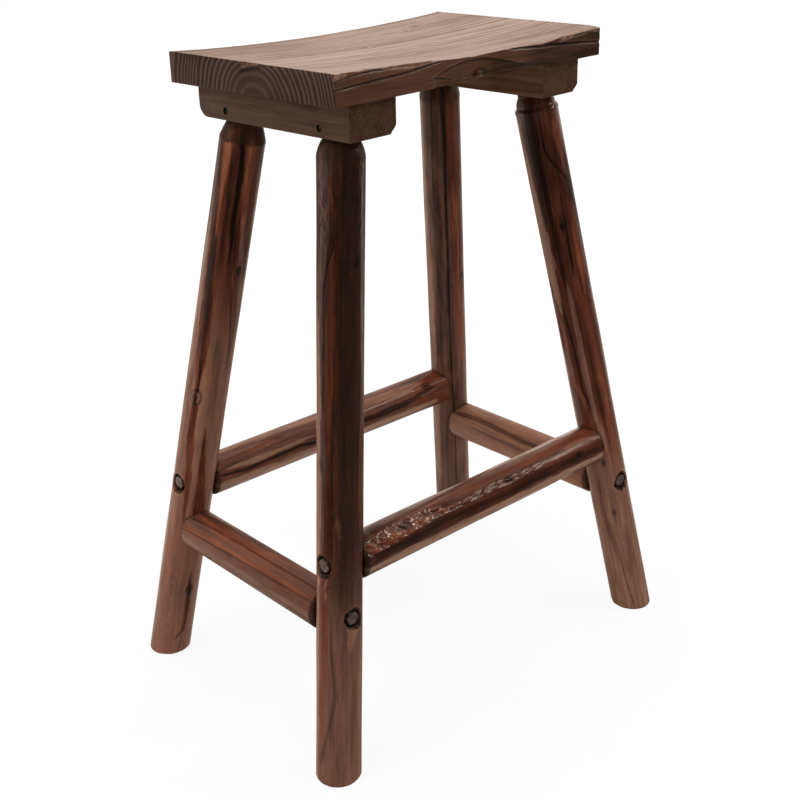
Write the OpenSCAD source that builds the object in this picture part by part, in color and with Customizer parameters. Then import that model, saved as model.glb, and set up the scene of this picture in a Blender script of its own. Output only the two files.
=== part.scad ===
// Log saddle stool: a dished plank seat screwed to two cleats, on four splayed log legs.
// The legs' round tenons stand in the cleats, and four coped log rungs are bolted between the legs.
// Millimetres, +Z up. The origin is on the floor under the middle of the seat.
// +X runs along the seat, the waney front edge faces -Y, and left means -X.

/* [Seat] */
// Height of the seat's ends above the floor
seat_h = 762; // [620:1:800]
// Length of the seat plank, along X
seat_l = 427; // [390:1:470]
// Width of the seat plank, along Y
seat_w = 253; // [230:1:290]
// Thickness of the plank at its ends
seat_t = 32.5; // [29:0.5:40]
// Depth of the dish at the middle of the seat
dish_depth = 7; // [3:0.5:11]
// Middle of the hollow in the front edge, along X
hollow_x = 20; // [0:1:60]
// Depth of that hollow at the plank's lower edge
hollow_depth = 4.5; // [3:0.5:9]
// Radius of the hollow, seen from above
hollow_r = 1200; // [900:10:1500]
// Slope of the hollow's surface from upright
hollow_slope = 12; // [8:1:25]

/* [Cleats] */
// Height of a cleat
cleat_h = 38.5; // [34:0.5:48]
// Thickness of a cleat, along X
cleat_w = 66; // [60:0.5:76]
// From the seat's end to a cleat's outer face
cleat_inset = 27.5; // [15:0.5:40]
// From the seat's long edge to a cleat's end
cleat_setback = 9.5; // [4:0.5:16]
// Chamfer on one lower long edge of a cleat
cleat_chamfer = 9; // [3:0.5:12]
// Radius on the lower corner at the back end of a cleat
cleat_round = 15; // [6:0.5:20]

/* [Legs] */
// Diameter of a log leg
leg_d = 51.5; // [46:0.5:56]
// Diameter of the round tenon on a leg
tenon_d = 38; // [34:0.5:42]
// Length of the rounded shoulder between leg and tenon
shoulder_l = 20; // [14:0.5:30]
// Length of tenon that shows between the shoulder and the cleat
neck_l = 4.5; // [4.5:0.5:10]
// From the end of a cleat to the middle of its mortise
mortise_end = 43; // [34:0.5:50]
// How far outside the middle of its cleat a leg enters it
mortise_out = 4; // [0:0.5:5]
// Spread of a foot from its leg's top, along X
splay_x = 103; // [70:1:120]
// Spread of a foot from its leg's top, along Y
splay_y = 100.5; // [70:1:120]
// Turn of the feet against the seat, clockwise from above, in degrees
frame_twist = 4.6; // [0:0.1:8]

/* [Rungs] */
// Diameter of a log rung
rung_d = 51; // [44:0.5:54]
// Height of the side rungs' axes above the floor
side_rung_z = 184.5; // [140:0.5:220]
// How far the front and back rungs lie above the side rungs
rung_step = 58.5; // [54:0.5:90]
// From a leg's axis to the blunt rim of a coped rung end
rung_trim = 19; // [17:0.5:22]
// Chamfer round a rung's end
rung_chamfer = 2; // [0.5:0.5:4]

/* [Lag bolts] */
// Shank diameter of a lag bolt
lag_d = 9.5; // [8:0.5:12]
// Root diameter of its thread
lag_root_d = 7.2; // [5:0.1:7.6]
// Length of a lag bolt under its head
lag_l = 100; // [85:1:120]
// Length of its plain shank
lag_plain_l = 40; // [30:1:60]
// Width of its hexagon head across the flats
lag_head_w = 14.3; // [12:0.1:17]
// Height of its hexagon head
lag_head_h = 6.4; // [4:0.1:8]
// Diameter of the counterbore in a leg
counterbore_d = 21; // [19:0.5:24]
// From a leg's axis to the floor of its counterbore
counterbore_floor = 16.5; // [12:0.5:18]
// How far the lag bolts lie above the middles of the rungs
lag_rise = 6; // [0:0.5:9]

/* [Screws] */
// Shank diameter of a wood screw
screw_d = 4.2; // [3:0.1:5]
// Head diameter of a wood screw
screw_head_d = 7.6; // [6.5:0.1:9]
// Height of a wood screw's head
screw_head_h = 3; // [2:0.1:3.5]
// Length under the head of a screw that locks a tenon
tenon_screw_l = 34; // [25:1:38]
// Height of a tenon screw above the underside of its cleat
tenon_screw_up = 10; // [7:0.5:16]
// Depth of the floor of a tenon screw's counterbore
tenon_screw_sink = 5; // [4:0.5:7]
// Length under the head of a screw that holds the seat
seat_screw_l = 50; // [42:1:52]
// Depth of the floor of a seat screw's counterbore
seat_screw_sink = 8; // [4:0.5:9]
// From the middle of a cleat to each of its seat screws
seat_screw_y = 27; // [15:0.5:29]

/* [Fits] */
// Gap round tenons, rung copes, shanks and screw heads
fit_gap = 0.2; // [0.1:0.05:0.3]

/* [Hidden] */

$fn = 96;
fine_fn = 900;
seat_colour = "#9c7f70";
cleat_colour = "#53443a";
log_colour = "#5a2c1c";
bolt_colour = "#5f5550";
screw_colour = "#2c2320";

// Corners of the stool as signs of X and Y
FRONT_LEFT = [-1, -1];
FRONT_RIGHT = [1, -1];
BACK_LEFT = [-1, 1];
BACK_RIGHT = [1, 1];

seat_z = seat_h - seat_t;
cleat_z = seat_z - cleat_h;
cleat_l = seat_w - 2 * cleat_setback;
cleat_x = seat_l / 2 - cleat_inset - cleat_w / 2;
leg_r = leg_d / 2;
tenon_r = tenon_d / 2;
leg_top_x = cleat_x + mortise_out;
leg_top_y = cleat_l / 2 - mortise_end;
main_rung_z = side_rung_z + rung_step;
// Past every face that a cut has to pass through
over = 1;
// Roll of a round piece about its axis, so that its wall starts beside the tips of slanted cuts
roll = 40;

function leg_top(corner) = [corner.x * leg_top_x, corner.y * leg_top_y, cleat_z];

// The foot of a leg's axis, turned clockwise about the middle of the stool
function leg_foot(corner) =
    let (x = corner.x * (leg_top_x + splay_x), y = corner.y * (leg_top_y + splay_y))
    [x * cos(frame_twist) + y * sin(frame_twist), y * cos(frame_twist) - x * sin(frame_twist), 0];

// The point of a leg's axis at height z
function leg_point(corner, z) = leg_foot(corner) + (leg_top(corner) - leg_foot(corner)) * z / cleat_z;

// Puts its children at one point with their Z axis towards another, rolled about that axis
module aim(start, end) {
    d = end - start;
    translate(start) rotate([0, acos(d.z / norm(d)), atan2(d.y, d.x)]) rotate([0, 0, roll]) children();
}

// The straight way from a leg's axis along a rung, at one of the rung's ends
module along_rung(corner, far_corner, z) {
    aim(leg_point(corner, z), leg_point(far_corner, z)) children();
}

// Everything below a height, as far out as the stool reaches
module space_below(z) {
    translate([-seat_h, -seat_h, z - seat_h]) cube([2 * seat_h, 2 * seat_h, seat_h]);
}

module space_above(z) {
    translate([-seat_h, -seat_h, z]) cube([2 * seat_h, 2 * seat_h, seat_h]);
}

// Half section of a leg, along its axis from the floor up
module leg_section(axis_l) {
    foot_allowance = leg_r;
    tenon_allowance = 2 * cleat_h;
    shoulder_z = axis_l - neck_l - shoulder_l;
    step = leg_r - tenon_r;
    shoulder_r = (step * step + shoulder_l * shoulder_l) / (2 * step);
    translate([0, -foot_allowance]) square([leg_r, foot_allowance + shoulder_z]);
    intersection() {
        translate([leg_r - shoulder_r, shoulder_z]) circle(shoulder_r, $fn = 360);
        translate([0, shoulder_z]) square([leg_r, shoulder_l]);
    }
    translate([0, shoulder_z]) square([tenon_r, shoulder_l + neck_l + tenon_allowance]);
}

// A straight rod along a leg's whole axis, for mortises and copes
module leg_rod(corner, r) {
    run = leg_top(corner) - leg_foot(corner);
    aim(leg_foot(corner) - run / 4, leg_top(corner) + run / 4) cylinder(r = r, h = 1.5 * norm(run));
}

// The bore for a lag bolt through a leg, from the leg's axis
module lag_bore() {
    translate([0, 0, -leg_d]) cylinder(d = counterbore_d, h = leg_d - counterbore_floor);
    translate([0, 0, -leg_d]) cylinder(d = lag_d + 2 * fit_gap, h = 2 * leg_d);
}

// The blind pilot bore for a lag bolt in the end of a rung, from the leg's axis
module lag_pilot() {
    plain_end = lag_plain_l - counterbore_floor;
    cylinder(d = lag_d + 2 * fit_gap, h = plain_end + fit_gap);
    translate([0, 0, plain_end]) cylinder(d = lag_root_d + 2 * fit_gap, h = lag_l - lag_plain_l + over);
}

module lag_bolt(corner, far_corner, z) {
    tip_l = lag_root_d;
    head_chamfer = 1;
    corner_r = lag_head_w / 2 / cos(30);
    color(bolt_colour) along_rung(corner, far_corner, z + lag_rise) translate([0, 0, -counterbore_floor]) {
        rotate([180, 0, 0]) intersection() {
            cylinder(r = corner_r, h = lag_head_h, $fn = 6);
            union() {
                cylinder(r = corner_r + over, h = lag_head_h - head_chamfer);
                translate([0, 0, lag_head_h - head_chamfer])
                    cylinder(r1 = corner_r, r2 = lag_head_w / 2 - head_chamfer / 2, h = head_chamfer);
            }
        }
        cylinder(d = lag_d, h = lag_plain_l);
        cylinder(d = lag_root_d, h = lag_l - tip_l);
        translate([0, 0, lag_l - tip_l]) cylinder(d1 = lag_root_d, d2 = 1, h = tip_l);
    }
}

// A wood screw with its head's top at the origin, pointing up
module wood_screw(length) {
    cylinder(d = screw_head_d, h = screw_head_h);
    translate([0, 0, screw_head_h]) cylinder(d = screw_d, h = length - screw_d);
    translate([0, 0, screw_head_h + length - screw_d]) cylinder(d1 = screw_d, d2 = 0.8, h = screw_d);
}

// The bore for a wood screw, with a counterbore from past the wood's face down to the head's underside
module screw_bore(length, sink) {
    floor_z = screw_head_h;
    translate([0, 0, floor_z - sink - over]) cylinder(d = screw_head_d + 2 * fit_gap, h = sink + over);
    translate([0, 0, floor_z - over]) cylinder(d = screw_d + 2 * fit_gap, h = length + 2 * over);
}

// The place of a tenon screw: its head's top, pointing in along X at the middle of the tenon
module at_tenon_screw(corner) {
    z = cleat_z + tenon_screw_up;
    face_x = cleat_x + cleat_w / 2;
    translate([corner.x * (face_x - tenon_screw_sink + screw_head_h), leg_point(corner, z).y, z])
        rotate([0, -corner.x * 90, 0]) children();
}

// The place of a seat screw: its head's top, pointing up
module at_seat_screw(corner) {
    z = cleat_z + seat_screw_sink - screw_head_h;
    translate([corner.x * cleat_x, corner.y * seat_screw_y, z]) children();
}

module seat_plank() {
    dish_r = (seat_l * seat_l / 4 + dish_depth * dish_depth) / (2 * dish_depth);
    color(seat_colour) difference() {
        translate([0, seat_w / 2, 0]) rotate([90, 0, 0]) linear_extrude(seat_w) difference() {
            translate([-seat_l / 2, seat_z]) square([seat_l, seat_t]);
            translate([0, seat_h - dish_depth + dish_r]) circle(dish_r, $fn = fine_fn);
        }
        // The hollow in the front edge, deepest at the plank's underside
        translate([hollow_x, hollow_depth - seat_w / 2, seat_z]) rotate([hollow_slope, 0, 0])
            translate([0, -hollow_r, -seat_t]) cylinder(r = hollow_r, h = 3 * seat_t, $fn = fine_fn);
        for (corner = [FRONT_LEFT, FRONT_RIGHT, BACK_LEFT, BACK_RIGHT])
            at_seat_screw(corner) screw_bore(seat_screw_l, seat_screw_sink);
    }
}

// Side view of a cleat, with its back lower corner rounded
module cleat_side() {
    difference() {
        translate([-cleat_l / 2, 0]) square([cleat_l, cleat_h]);
        translate([cleat_l / 2 - cleat_round, -over]) square([cleat_round + over, cleat_round + over]);
    }
    translate([cleat_l / 2 - cleat_round, cleat_round]) intersection() {
        circle(cleat_round);
        translate([-over, -cleat_round]) square([cleat_round + over, cleat_round + over]);
    }
}

module cleat(side) {
    edge = cleat_w / 2;
    bevel = cleat_chamfer * sqrt(2);
    color(cleat_colour) difference() {
        translate([side * cleat_x - edge, 0, cleat_z]) rotate([90, 0, 90])
            linear_extrude(cleat_w) cleat_side();
        // The chamfer along the lower edge on the +X side
        translate([side * cleat_x + edge, 0, cleat_z]) rotate([0, 45, 0])
            cube([bevel, cleat_l + 2 * over, bevel], center = true);
        for (end = [-1, 1]) {
            leg_rod([side, end], tenon_r + fit_gap);
            at_tenon_screw([side, end]) screw_bore(tenon_screw_l, tenon_screw_sink);
            at_seat_screw([side, end]) screw_bore(seat_screw_l, seat_screw_sink);
        }
    }
}

// A leg stands at a corner, and its bolts run into the front or back rung and into a side rung
module leg(corner) {
    color(log_colour) difference() {
        aim(leg_foot(corner), leg_top(corner))
            rotate_extrude() leg_section(norm(leg_top(corner) - leg_foot(corner)));
        space_below(0);
        space_above(seat_z - fit_gap);
        along_rung(corner, [-corner.x, corner.y], main_rung_z + lag_rise) lag_bore();
        along_rung(corner, [corner.x, -corner.y], side_rung_z + lag_rise) lag_bore();
        at_tenon_screw(corner) screw_bore(tenon_screw_l, tenon_screw_sink);
    }
}

// Half section of a rung with its ends' rims chamfered
module rung_section(length) {
    r = rung_d / 2;
    polygon([
        [0, 0], [r - rung_chamfer, 0], [r, rung_chamfer],
        [r, length - rung_chamfer], [r - rung_chamfer, length], [0, length],
    ]);
}

module rung(start, end, z) {
    span = norm(leg_point(end, z) - leg_point(start, z));
    color(log_colour) difference() {
        along_rung(start, end, z) translate([0, 0, rung_trim])
            rotate_extrude() rung_section(span - 2 * rung_trim);
        leg_rod(start, leg_r + fit_gap);
        leg_rod(end, leg_r + fit_gap);
        along_rung(start, end, z + lag_rise) lag_pilot();
        along_rung(end, start, z + lag_rise) lag_pilot();
    }
}

module tenon_screw(corner) {
    color(screw_colour) at_tenon_screw(corner) wood_screw(tenon_screw_l);
}

module seat_screw(corner) {
    color(screw_colour) at_seat_screw(corner) wood_screw(seat_screw_l);
}

seat_plank();
cleat(-1);  // cleat_left
cleat(1);  // cleat_right
leg(FRONT_LEFT);  // leg_front_left
leg(FRONT_RIGHT);  // leg_front_right
leg(BACK_LEFT);  // leg_back_left
leg(BACK_RIGHT);  // leg_back_right
rung(FRONT_LEFT, FRONT_RIGHT, main_rung_z);  // rung_front
rung(BACK_LEFT, BACK_RIGHT, main_rung_z);  // rung_back
rung(FRONT_LEFT, BACK_LEFT, side_rung_z);  // rung_left
rung(FRONT_RIGHT, BACK_RIGHT, side_rung_z);  // rung_right
lag_bolt(FRONT_LEFT, FRONT_RIGHT, main_rung_z);  // lag_bolt_front_rung_left
lag_bolt(FRONT_RIGHT, FRONT_LEFT, main_rung_z);  // lag_bolt_front_rung_right
lag_bolt(BACK_LEFT, BACK_RIGHT, main_rung_z);  // lag_bolt_back_rung_left
lag_bolt(BACK_RIGHT, BACK_LEFT, main_rung_z);  // lag_bolt_back_rung_right
lag_bolt(FRONT_LEFT, BACK_LEFT, side_rung_z);  // lag_bolt_left_rung_front
lag_bolt(BACK_LEFT, FRONT_LEFT, side_rung_z);  // lag_bolt_left_rung_back
lag_bolt(FRONT_RIGHT, BACK_RIGHT, side_rung_z);  // lag_bolt_right_rung_front
lag_bolt(BACK_RIGHT, FRONT_RIGHT, side_rung_z);  // lag_bolt_right_rung_back
tenon_screw(FRONT_LEFT);  // tenon_screw_front_left
tenon_screw(FRONT_RIGHT);  // tenon_screw_front_right
tenon_screw(BACK_LEFT);  // tenon_screw_back_left
tenon_screw(BACK_RIGHT);  // tenon_screw_back_right
seat_screw(FRONT_LEFT);  // seat_screw_front_left
seat_screw(FRONT_RIGHT);  // seat_screw_front_right
seat_screw(BACK_LEFT);  // seat_screw_back_left
seat_screw(BACK_RIGHT);  // seat_screw_back_right
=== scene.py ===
"""Looks of a log saddle stool: a dished plank on two cleats, four splayed log legs and four coped rungs.

The wooden pieces are built here in fine mesh, with their knots, flats, tears and bores.
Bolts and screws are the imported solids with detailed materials.
Metres, +Z up, and the waney front edge of the seat faces -Y.
"""

import bpy
import numpy as np
from mathutils import Matrix


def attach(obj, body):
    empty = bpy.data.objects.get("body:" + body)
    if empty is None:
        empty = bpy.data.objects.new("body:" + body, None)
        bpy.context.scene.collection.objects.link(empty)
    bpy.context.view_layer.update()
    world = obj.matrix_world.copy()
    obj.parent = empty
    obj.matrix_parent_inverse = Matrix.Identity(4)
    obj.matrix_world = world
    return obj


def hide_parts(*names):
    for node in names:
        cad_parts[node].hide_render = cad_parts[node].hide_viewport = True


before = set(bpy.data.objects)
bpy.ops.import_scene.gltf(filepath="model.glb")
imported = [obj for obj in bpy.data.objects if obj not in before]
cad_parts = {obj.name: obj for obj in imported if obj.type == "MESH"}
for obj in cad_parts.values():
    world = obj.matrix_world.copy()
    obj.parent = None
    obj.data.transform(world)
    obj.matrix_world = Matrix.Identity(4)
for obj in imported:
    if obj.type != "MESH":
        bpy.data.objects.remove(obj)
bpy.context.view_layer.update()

MM = 0.001

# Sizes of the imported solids
SEAT_H = 762 * MM
SEAT_L = 427 * MM
SEAT_W = 253 * MM
SEAT_T = 32.5 * MM
DISH_DEPTH = 7 * MM
CLEAT_H = 38.5 * MM
CLEAT_W = 66 * MM
CLEAT_INSET = 27.5 * MM
CLEAT_SETBACK = 9.5 * MM
CLEAT_CHAMFER = 9 * MM
CLEAT_ROUND = 15 * MM
LEG_R = 25.75 * MM
TENON_R = 19 * MM
SHOULDER_L = 20 * MM
NECK_L = 4.5 * MM
MORTISE_END = 43 * MM
MORTISE_OUT = 4 * MM
SPLAY_X = 103 * MM
SPLAY_Y = 100.5 * MM
FRAME_TWIST = np.radians(4.6)
RUNG_R = 25.5 * MM
SIDE_RUNG_Z = 184.5 * MM
MAIN_RUNG_Z = 243 * MM
RUNG_TRIM = 19 * MM
RUNG_CHAMFER = 2 * MM
LAG_R = 4.75 * MM
LAG_ROOT_R = 3.6 * MM
LAG_L = 100 * MM
LAG_PLAIN_L = 40 * MM
COUNTERBORE_R = 10.5 * MM
COUNTERBORE_FLOOR = 16.5 * MM
LAG_RISE = 6 * MM
SCREW_R = 2.1 * MM
SCREW_HEAD_R = 3.8 * MM
SCREW_HEAD_H = 3 * MM
TENON_SCREW_L = 34 * MM
TENON_SCREW_UP = 10 * MM
TENON_SCREW_SINK = 5 * MM
SEAT_SCREW_L = 50 * MM
SEAT_SCREW_SINK = 8 * MM
SEAT_SCREW_Y = 27 * MM
FIT_GAP = 0.2 * MM

SEAT_Z = SEAT_H - SEAT_T
CLEAT_Z = SEAT_Z - CLEAT_H
CLEAT_L = SEAT_W - 2 * CLEAT_SETBACK
CLEAT_X = SEAT_L / 2 - CLEAT_INSET - CLEAT_W / 2
LEG_TOP_X = CLEAT_X + MORTISE_OUT
LEG_TOP_Y = CLEAT_L / 2 - MORTISE_END

FRONT_LEFT = (-1, -1)
FRONT_RIGHT = (1, -1)
BACK_LEFT = (-1, 1)
BACK_RIGHT = (1, 1)
CORNER_NAMES = {
    FRONT_LEFT: "front_left", FRONT_RIGHT: "front_right", BACK_LEFT: "back_left", BACK_RIGHT: "back_right",
}


# Objects and their places

def linked(name, data):
    """A new object in the scene."""
    item = bpy.data.objects.new(name, data)
    bpy.context.scene.collection.objects.link(item)
    return item


def meshed(name, points, faces, material):
    """A new object in the scene, with a mesh in one material."""
    mesh = bpy.data.meshes.new(name)
    mesh.from_pydata(points, [], faces)
    mesh.materials.append(material)
    return linked(name, mesh)


def placement(x, y, z, start):
    """The matrix with axes x, y and z, and its origin at start."""
    place = Matrix.Identity(4)
    for row in range(3):
        place[row][0], place[row][1], place[row][2], place[row][3] = x[row], y[row], z[row], start[row]
    return place


def unit(v):
    """A vector's direction, with length 1."""
    return v / np.linalg.norm(v)


def pointing(start, direction):
    """The placement with its origin at start and its Z axis along direction."""
    z = unit(np.array(direction, float))
    x = unit(np.cross(z, [0.3, 0.5, 0.81]))
    return placement(x, np.cross(z, x), z, start)


# Camera

CAMERA_AT = np.array([-1.0424, -1.0001, 0.9529])
CAMERA_TURN = np.radians(-46.1297)
CAMERA_RISE = np.radians(23.4938)
CAMERA_ROLL = np.radians(-1.1792)
# Lens and sensor in millimetres, and how far the camera sees in metres
CAMERA_LENS = 56.948
CAMERA_SENSOR = 36
CAMERA_REACH = 50


def make_camera():
    """The camera at the photograph's viewpoint."""
    back = np.array([
        np.sin(CAMERA_TURN) * np.cos(CAMERA_RISE),
        -np.cos(CAMERA_TURN) * np.cos(CAMERA_RISE),
        np.sin(CAMERA_RISE),
    ])
    level = np.array([np.cos(CAMERA_TURN), np.sin(CAMERA_TURN), 0])
    upright = np.cross(back, level)
    right = np.cos(CAMERA_ROLL) * level + np.sin(CAMERA_ROLL) * upright
    up = -np.sin(CAMERA_ROLL) * level + np.cos(CAMERA_ROLL) * upright
    data = bpy.data.cameras.new("camera")
    data.lens = CAMERA_LENS
    data.sensor_width = CAMERA_SENSOR
    data.clip_end = CAMERA_REACH
    camera = linked("camera", data)
    camera.matrix_world = placement(right, up, back, CAMERA_AT)
    bpy.context.scene.camera = camera


make_camera()


# Noise and small sums for the meshes. Noise is taken at places in metres, times how often it changes in a
# metre, and the number after the place is its seed.

# Large numbers that mix a grid cell and a seed into noise
CELL_MIX = np.array([73856093, 19349663, 83492791])
SEED_MIX = 2654435761
LAST_MIX = 1274126177


def value_noise(points, seed):
    """Smooth noise between -1 and 1 at points, an array whose last axis is x, y, z."""
    cell = np.floor(points)
    part = points - cell
    part = part * part * (3 - 2 * part)
    cell = cell.astype(np.int64)
    total = 0
    for corner in np.ndindex(2, 2, 2):
        weight = np.prod(np.where(corner, part, 1 - part), axis=-1)
        mixed = (cell + np.array(corner)) @ CELL_MIX + seed * SEED_MIX
        mixed = (mixed ^ (mixed >> 13)) * LAST_MIX
        mixed = (mixed ^ (mixed >> 16)) & 0xFFFF
        total = total + weight * mixed
    return total / 0x7FFF - 1


def layered_noise(points, seed, layers=3):
    """Sum of finer and finer noise, mostly between -1 and 1."""
    total = 0
    for layer in range(layers):
        total = total + value_noise(points * 2**layer, seed + layer) / 2**layer
    return total / 1.6


def ease(x):
    """0 below 0, 1 above 1, smooth between."""
    x = np.clip(x, 0, 1)
    return x * x * (3 - 2 * x)


def bell(x, width):
    """1 at 0, and nearly nothing beyond twice the width."""
    return np.exp(-((x / width) ** 2))


def stacked(*parts):
    """Arrays side by side along a new last axis."""
    return np.stack(parts, axis=-1)


def wrapped(angle):
    """An angle brought between -pi and pi."""
    return (angle + np.pi) % (2 * np.pi) - np.pi


def line_at(x, pairs):
    """A curve through (x mm, value mm) pairs, in metres."""
    places, values = np.array(pairs, float).T
    return np.interp(x, places * MM, values * MM)


# Mesh building

# Edges bent by more than this are shaded sharp
SHARP_ANGLE = np.radians(35)


def wood_object(name, points, quads, material, values, grain):
    """A smooth-shaded mesh object with named values, and its place in the grain, at each point."""
    piece = meshed(name, points.tolist(), quads, material)
    mesh = piece.data
    for label, data in values.items():
        layer = mesh.attributes.new(label, "FLOAT", "POINT")
        layer.data.foreach_set("value", data.astype(np.float32).ravel())
    layer = mesh.attributes.new("grain", "FLOAT_VECTOR", "POINT")
    layer.data.foreach_set("vector", grain.astype(np.float32).ravel())
    mesh.polygons.foreach_set("use_smooth", [True] * len(mesh.polygons))
    return piece


def lathe(outline, place, segments):
    """A closed round tool from an outline of (radius, height) points, first and last on the axis."""
    ring = np.linspace(0, 2 * np.pi, segments, endpoint=False)
    points = [[0, 0, outline[0][1]]]
    for radius, height in outline[1:-1]:
        for a in ring:
            points.append([radius * np.cos(a), radius * np.sin(a), height])
    points.append([0, 0, outline[-1][1]])
    faces = []
    rows = len(outline) - 2
    last = len(points) - 1
    for k in range(segments):
        n = (k + 1) % segments
        faces.append((0, 1 + n, 1 + k))
        faces.append((last, 1 + (rows - 1) * segments + k, 1 + (rows - 1) * segments + n))
        for r in range(rows - 1):
            low = 1 + r * segments
            faces.append((low + k, low + n, low + segments + n, low + segments + k))
    tool = meshed("bore", points, faces, BORE_WOOD)
    tool.matrix_world = place
    return tool


def cut(piece, tools):
    """Cuts two or more tools out of a piece and removes them."""
    bpy.ops.object.select_all(action="DESELECT")
    for tool in tools:
        tool.select_set(True)
    tool = tools[0]
    bpy.context.view_layer.objects.active = tool
    bpy.ops.object.join()
    step = piece.modifiers.new("cut", "BOOLEAN")
    step.operation = "DIFFERENCE"
    step.solver = "EXACT"
    step.material_mode = "TRANSFER"
    step.object = tool
    bpy.context.view_layer.update()
    shape = bpy.data.meshes.new_from_object(piece.evaluated_get(bpy.context.evaluated_depsgraph_get()))
    piece.modifiers.clear()
    old = piece.data
    piece.data = shape
    shape.name = old.name + "_cut"
    bpy.data.meshes.remove(old)
    bpy.data.objects.remove(tool)
    piece.data.set_sharp_from_angle(angle=SHARP_ANGLE)


# Materials

class Nodes:
    """The nodes of a material or world, made from their inputs."""

    def __init__(self, owner):
        owner.use_nodes = True
        self.owner, self.tree = owner, owner.node_tree
        self.tree.nodes.clear()
        self.shift = (0, 0, 0)

    def add(self, kind, inputs=None, **settings):
        """A node with its settings, and its inputs linked to sockets or set to values."""
        node = self.tree.nodes.new(kind)
        for key, value in settings.items():
            setattr(node, key, value)
        for key, value in (inputs or {}).items():
            if isinstance(value, bpy.types.NodeSocket):
                self.tree.links.new(value, node.inputs[key])
            else:
                node.inputs[key].default_value = value
        return node

    def math(self, operation, a, b=0.0, clamp=False):
        return self.add("ShaderNodeMath", {0: a, 1: b}, operation=operation, use_clamp=clamp).outputs[0]

    def times(self, a, b, clamp=False):
        return self.math("MULTIPLY", a, b, clamp)

    def value(self, name):
        """A value stored at the mesh's points."""
        return self.add("ShaderNodeAttribute", attribute_name=name).outputs["Fac"]

    def vector(self, name):
        return self.add("ShaderNodeAttribute", attribute_name=name).outputs["Vector"]

    def noise(self, vector, scale, detail=3.0, roughness=0.55, distortion=0.0):
        """Noise that changes scale times per metre along each axis of vector."""
        place = self.add("ShaderNodeMapping", {"Vector": vector, "Scale": scale, "Location": self.shift})
        return self.add("ShaderNodeTexNoise", {
            "Vector": place.outputs[0], "Scale": 1.0,
            "Detail": detail, "Roughness": roughness, "Distortion": distortion,
        }).outputs["Fac"]

    def centred(self, value, amount):
        """A value around 0.5 turned into one around 0 and scaled."""
        return self.times(self.math("SUBTRACT", value, 0.5), amount)

    def total(self, *values):
        result = values[0]
        for value in values[1:]:
            result = self.math("ADD", result, value)
        return result

    def ramp(self, value, stops):
        """The colour at a value, from (value, (red, green, blue)) stops."""
        node = self.add("ShaderNodeValToRGB", {"Fac": value})
        bar = node.color_ramp
        while len(bar.elements) < len(stops):
            bar.elements.new(0.5)
        for element, (place, colour) in zip(bar.elements, stops):
            element.position = place
            element.color = (*colour, 1.0)
        return node.outputs["Color"]

    def mix(self, factor, a, b, kind="MIX"):
        """Two colours mixed, each a socket or (red, green, blue)."""
        a, b = [colour if isinstance(colour, bpy.types.NodeSocket) else (*colour, 1.0) for colour in (a, b)]
        settings = {"data_type": "RGBA", "blend_type": kind, "clamp_factor": True}
        return self.add("ShaderNodeMix", {0: factor, 6: a, 7: b}, **settings).outputs[2]

    def span(self, value, low, high, new_low=0.0, new_high=1.0):
        """A value between low and high brought between new_low and new_high, smoothly."""
        return self.add("ShaderNodeMapRange", {
            "Value": value, "From Min": low, "From Max": high, "To Min": new_low, "To Max": new_high,
        }, interpolation_type="SMOOTHSTEP").outputs[0]

    def place(self, kind="Object"):
        """Where a point lies, in the coordinates of this kind."""
        return self.add("ShaderNodeTexCoord").outputs[kind]

    def facing(self):
        """The X, Y and Z parts of the direction a surface faces."""
        normal = self.add("ShaderNodeNewGeometry").outputs["Normal"]
        return self.add("ShaderNodeSeparateXYZ", {0: normal}).outputs

    def dot(self, vector, direction):
        node = self.add("ShaderNodeVectorMath", {0: vector, 1: direction}, operation="DOT_PRODUCT")
        return node.outputs["Value"]

    def rays(self):
        """Whether a ray comes from the camera, from a gloss or through a clear surface."""
        path = self.add("ShaderNodeLightPath")
        return [path.outputs[kind] for kind in ("Is Camera Ray", "Is Glossy Ray", "Is Transmission Ray")]

    def finish(self, colour, roughness, height, distance, **fixed):
        """A coated surface with its relief, and a coat that follows half of that relief."""
        bump = self.add("ShaderNodeBump", {"Height": height, "Distance": distance, "Strength": 1.0})
        film = self.add("ShaderNodeBump", {"Height": height, "Distance": distance * 0.5, "Strength": 1.0})
        shader = self.add("ShaderNodeBsdfPrincipled", {
            "Base Color": colour, "Roughness": roughness,
            "Normal": bump.outputs[0], "Coat Normal": film.outputs[0],
            **{key.replace("_", " "): value for key, value in fixed.items()},
        })
        self.add("ShaderNodeOutputMaterial", {"Surface": shader.outputs[0]})
        return self.owner


# Dark brown of the legs' stained shoulders, also painted as shade at their necks and at the rungs' ends
STAIN_AND_SHADE_BROWN = (0.036, 0.018, 0.011)
# Dark brown of the painted shade in the seat's splits and under the wane's arch
SPLIT_SHADE_BROWN = (0.018, 0.009, 0.006)
DRY_WOOD = [
    (0.10, (0.020, 0.010, 0.007)), (0.30, (0.062, 0.028, 0.019)), (0.46, (0.140, 0.062, 0.040)),
    (0.60, (0.225, 0.098, 0.062)), (0.76, (0.32, 0.145, 0.090)), (0.95, (0.46, 0.24, 0.145)),
]
SOAKED_WOOD = [
    (0.06, (0.009, 0.0045, 0.003)), (0.26, (0.032, 0.010, 0.005)), (0.44, (0.100, 0.024, 0.010)),
    (0.58, (0.168, 0.042, 0.019)), (0.76, (0.28, 0.084, 0.035)), (0.96, (0.45, 0.19, 0.075)),
]


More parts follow.
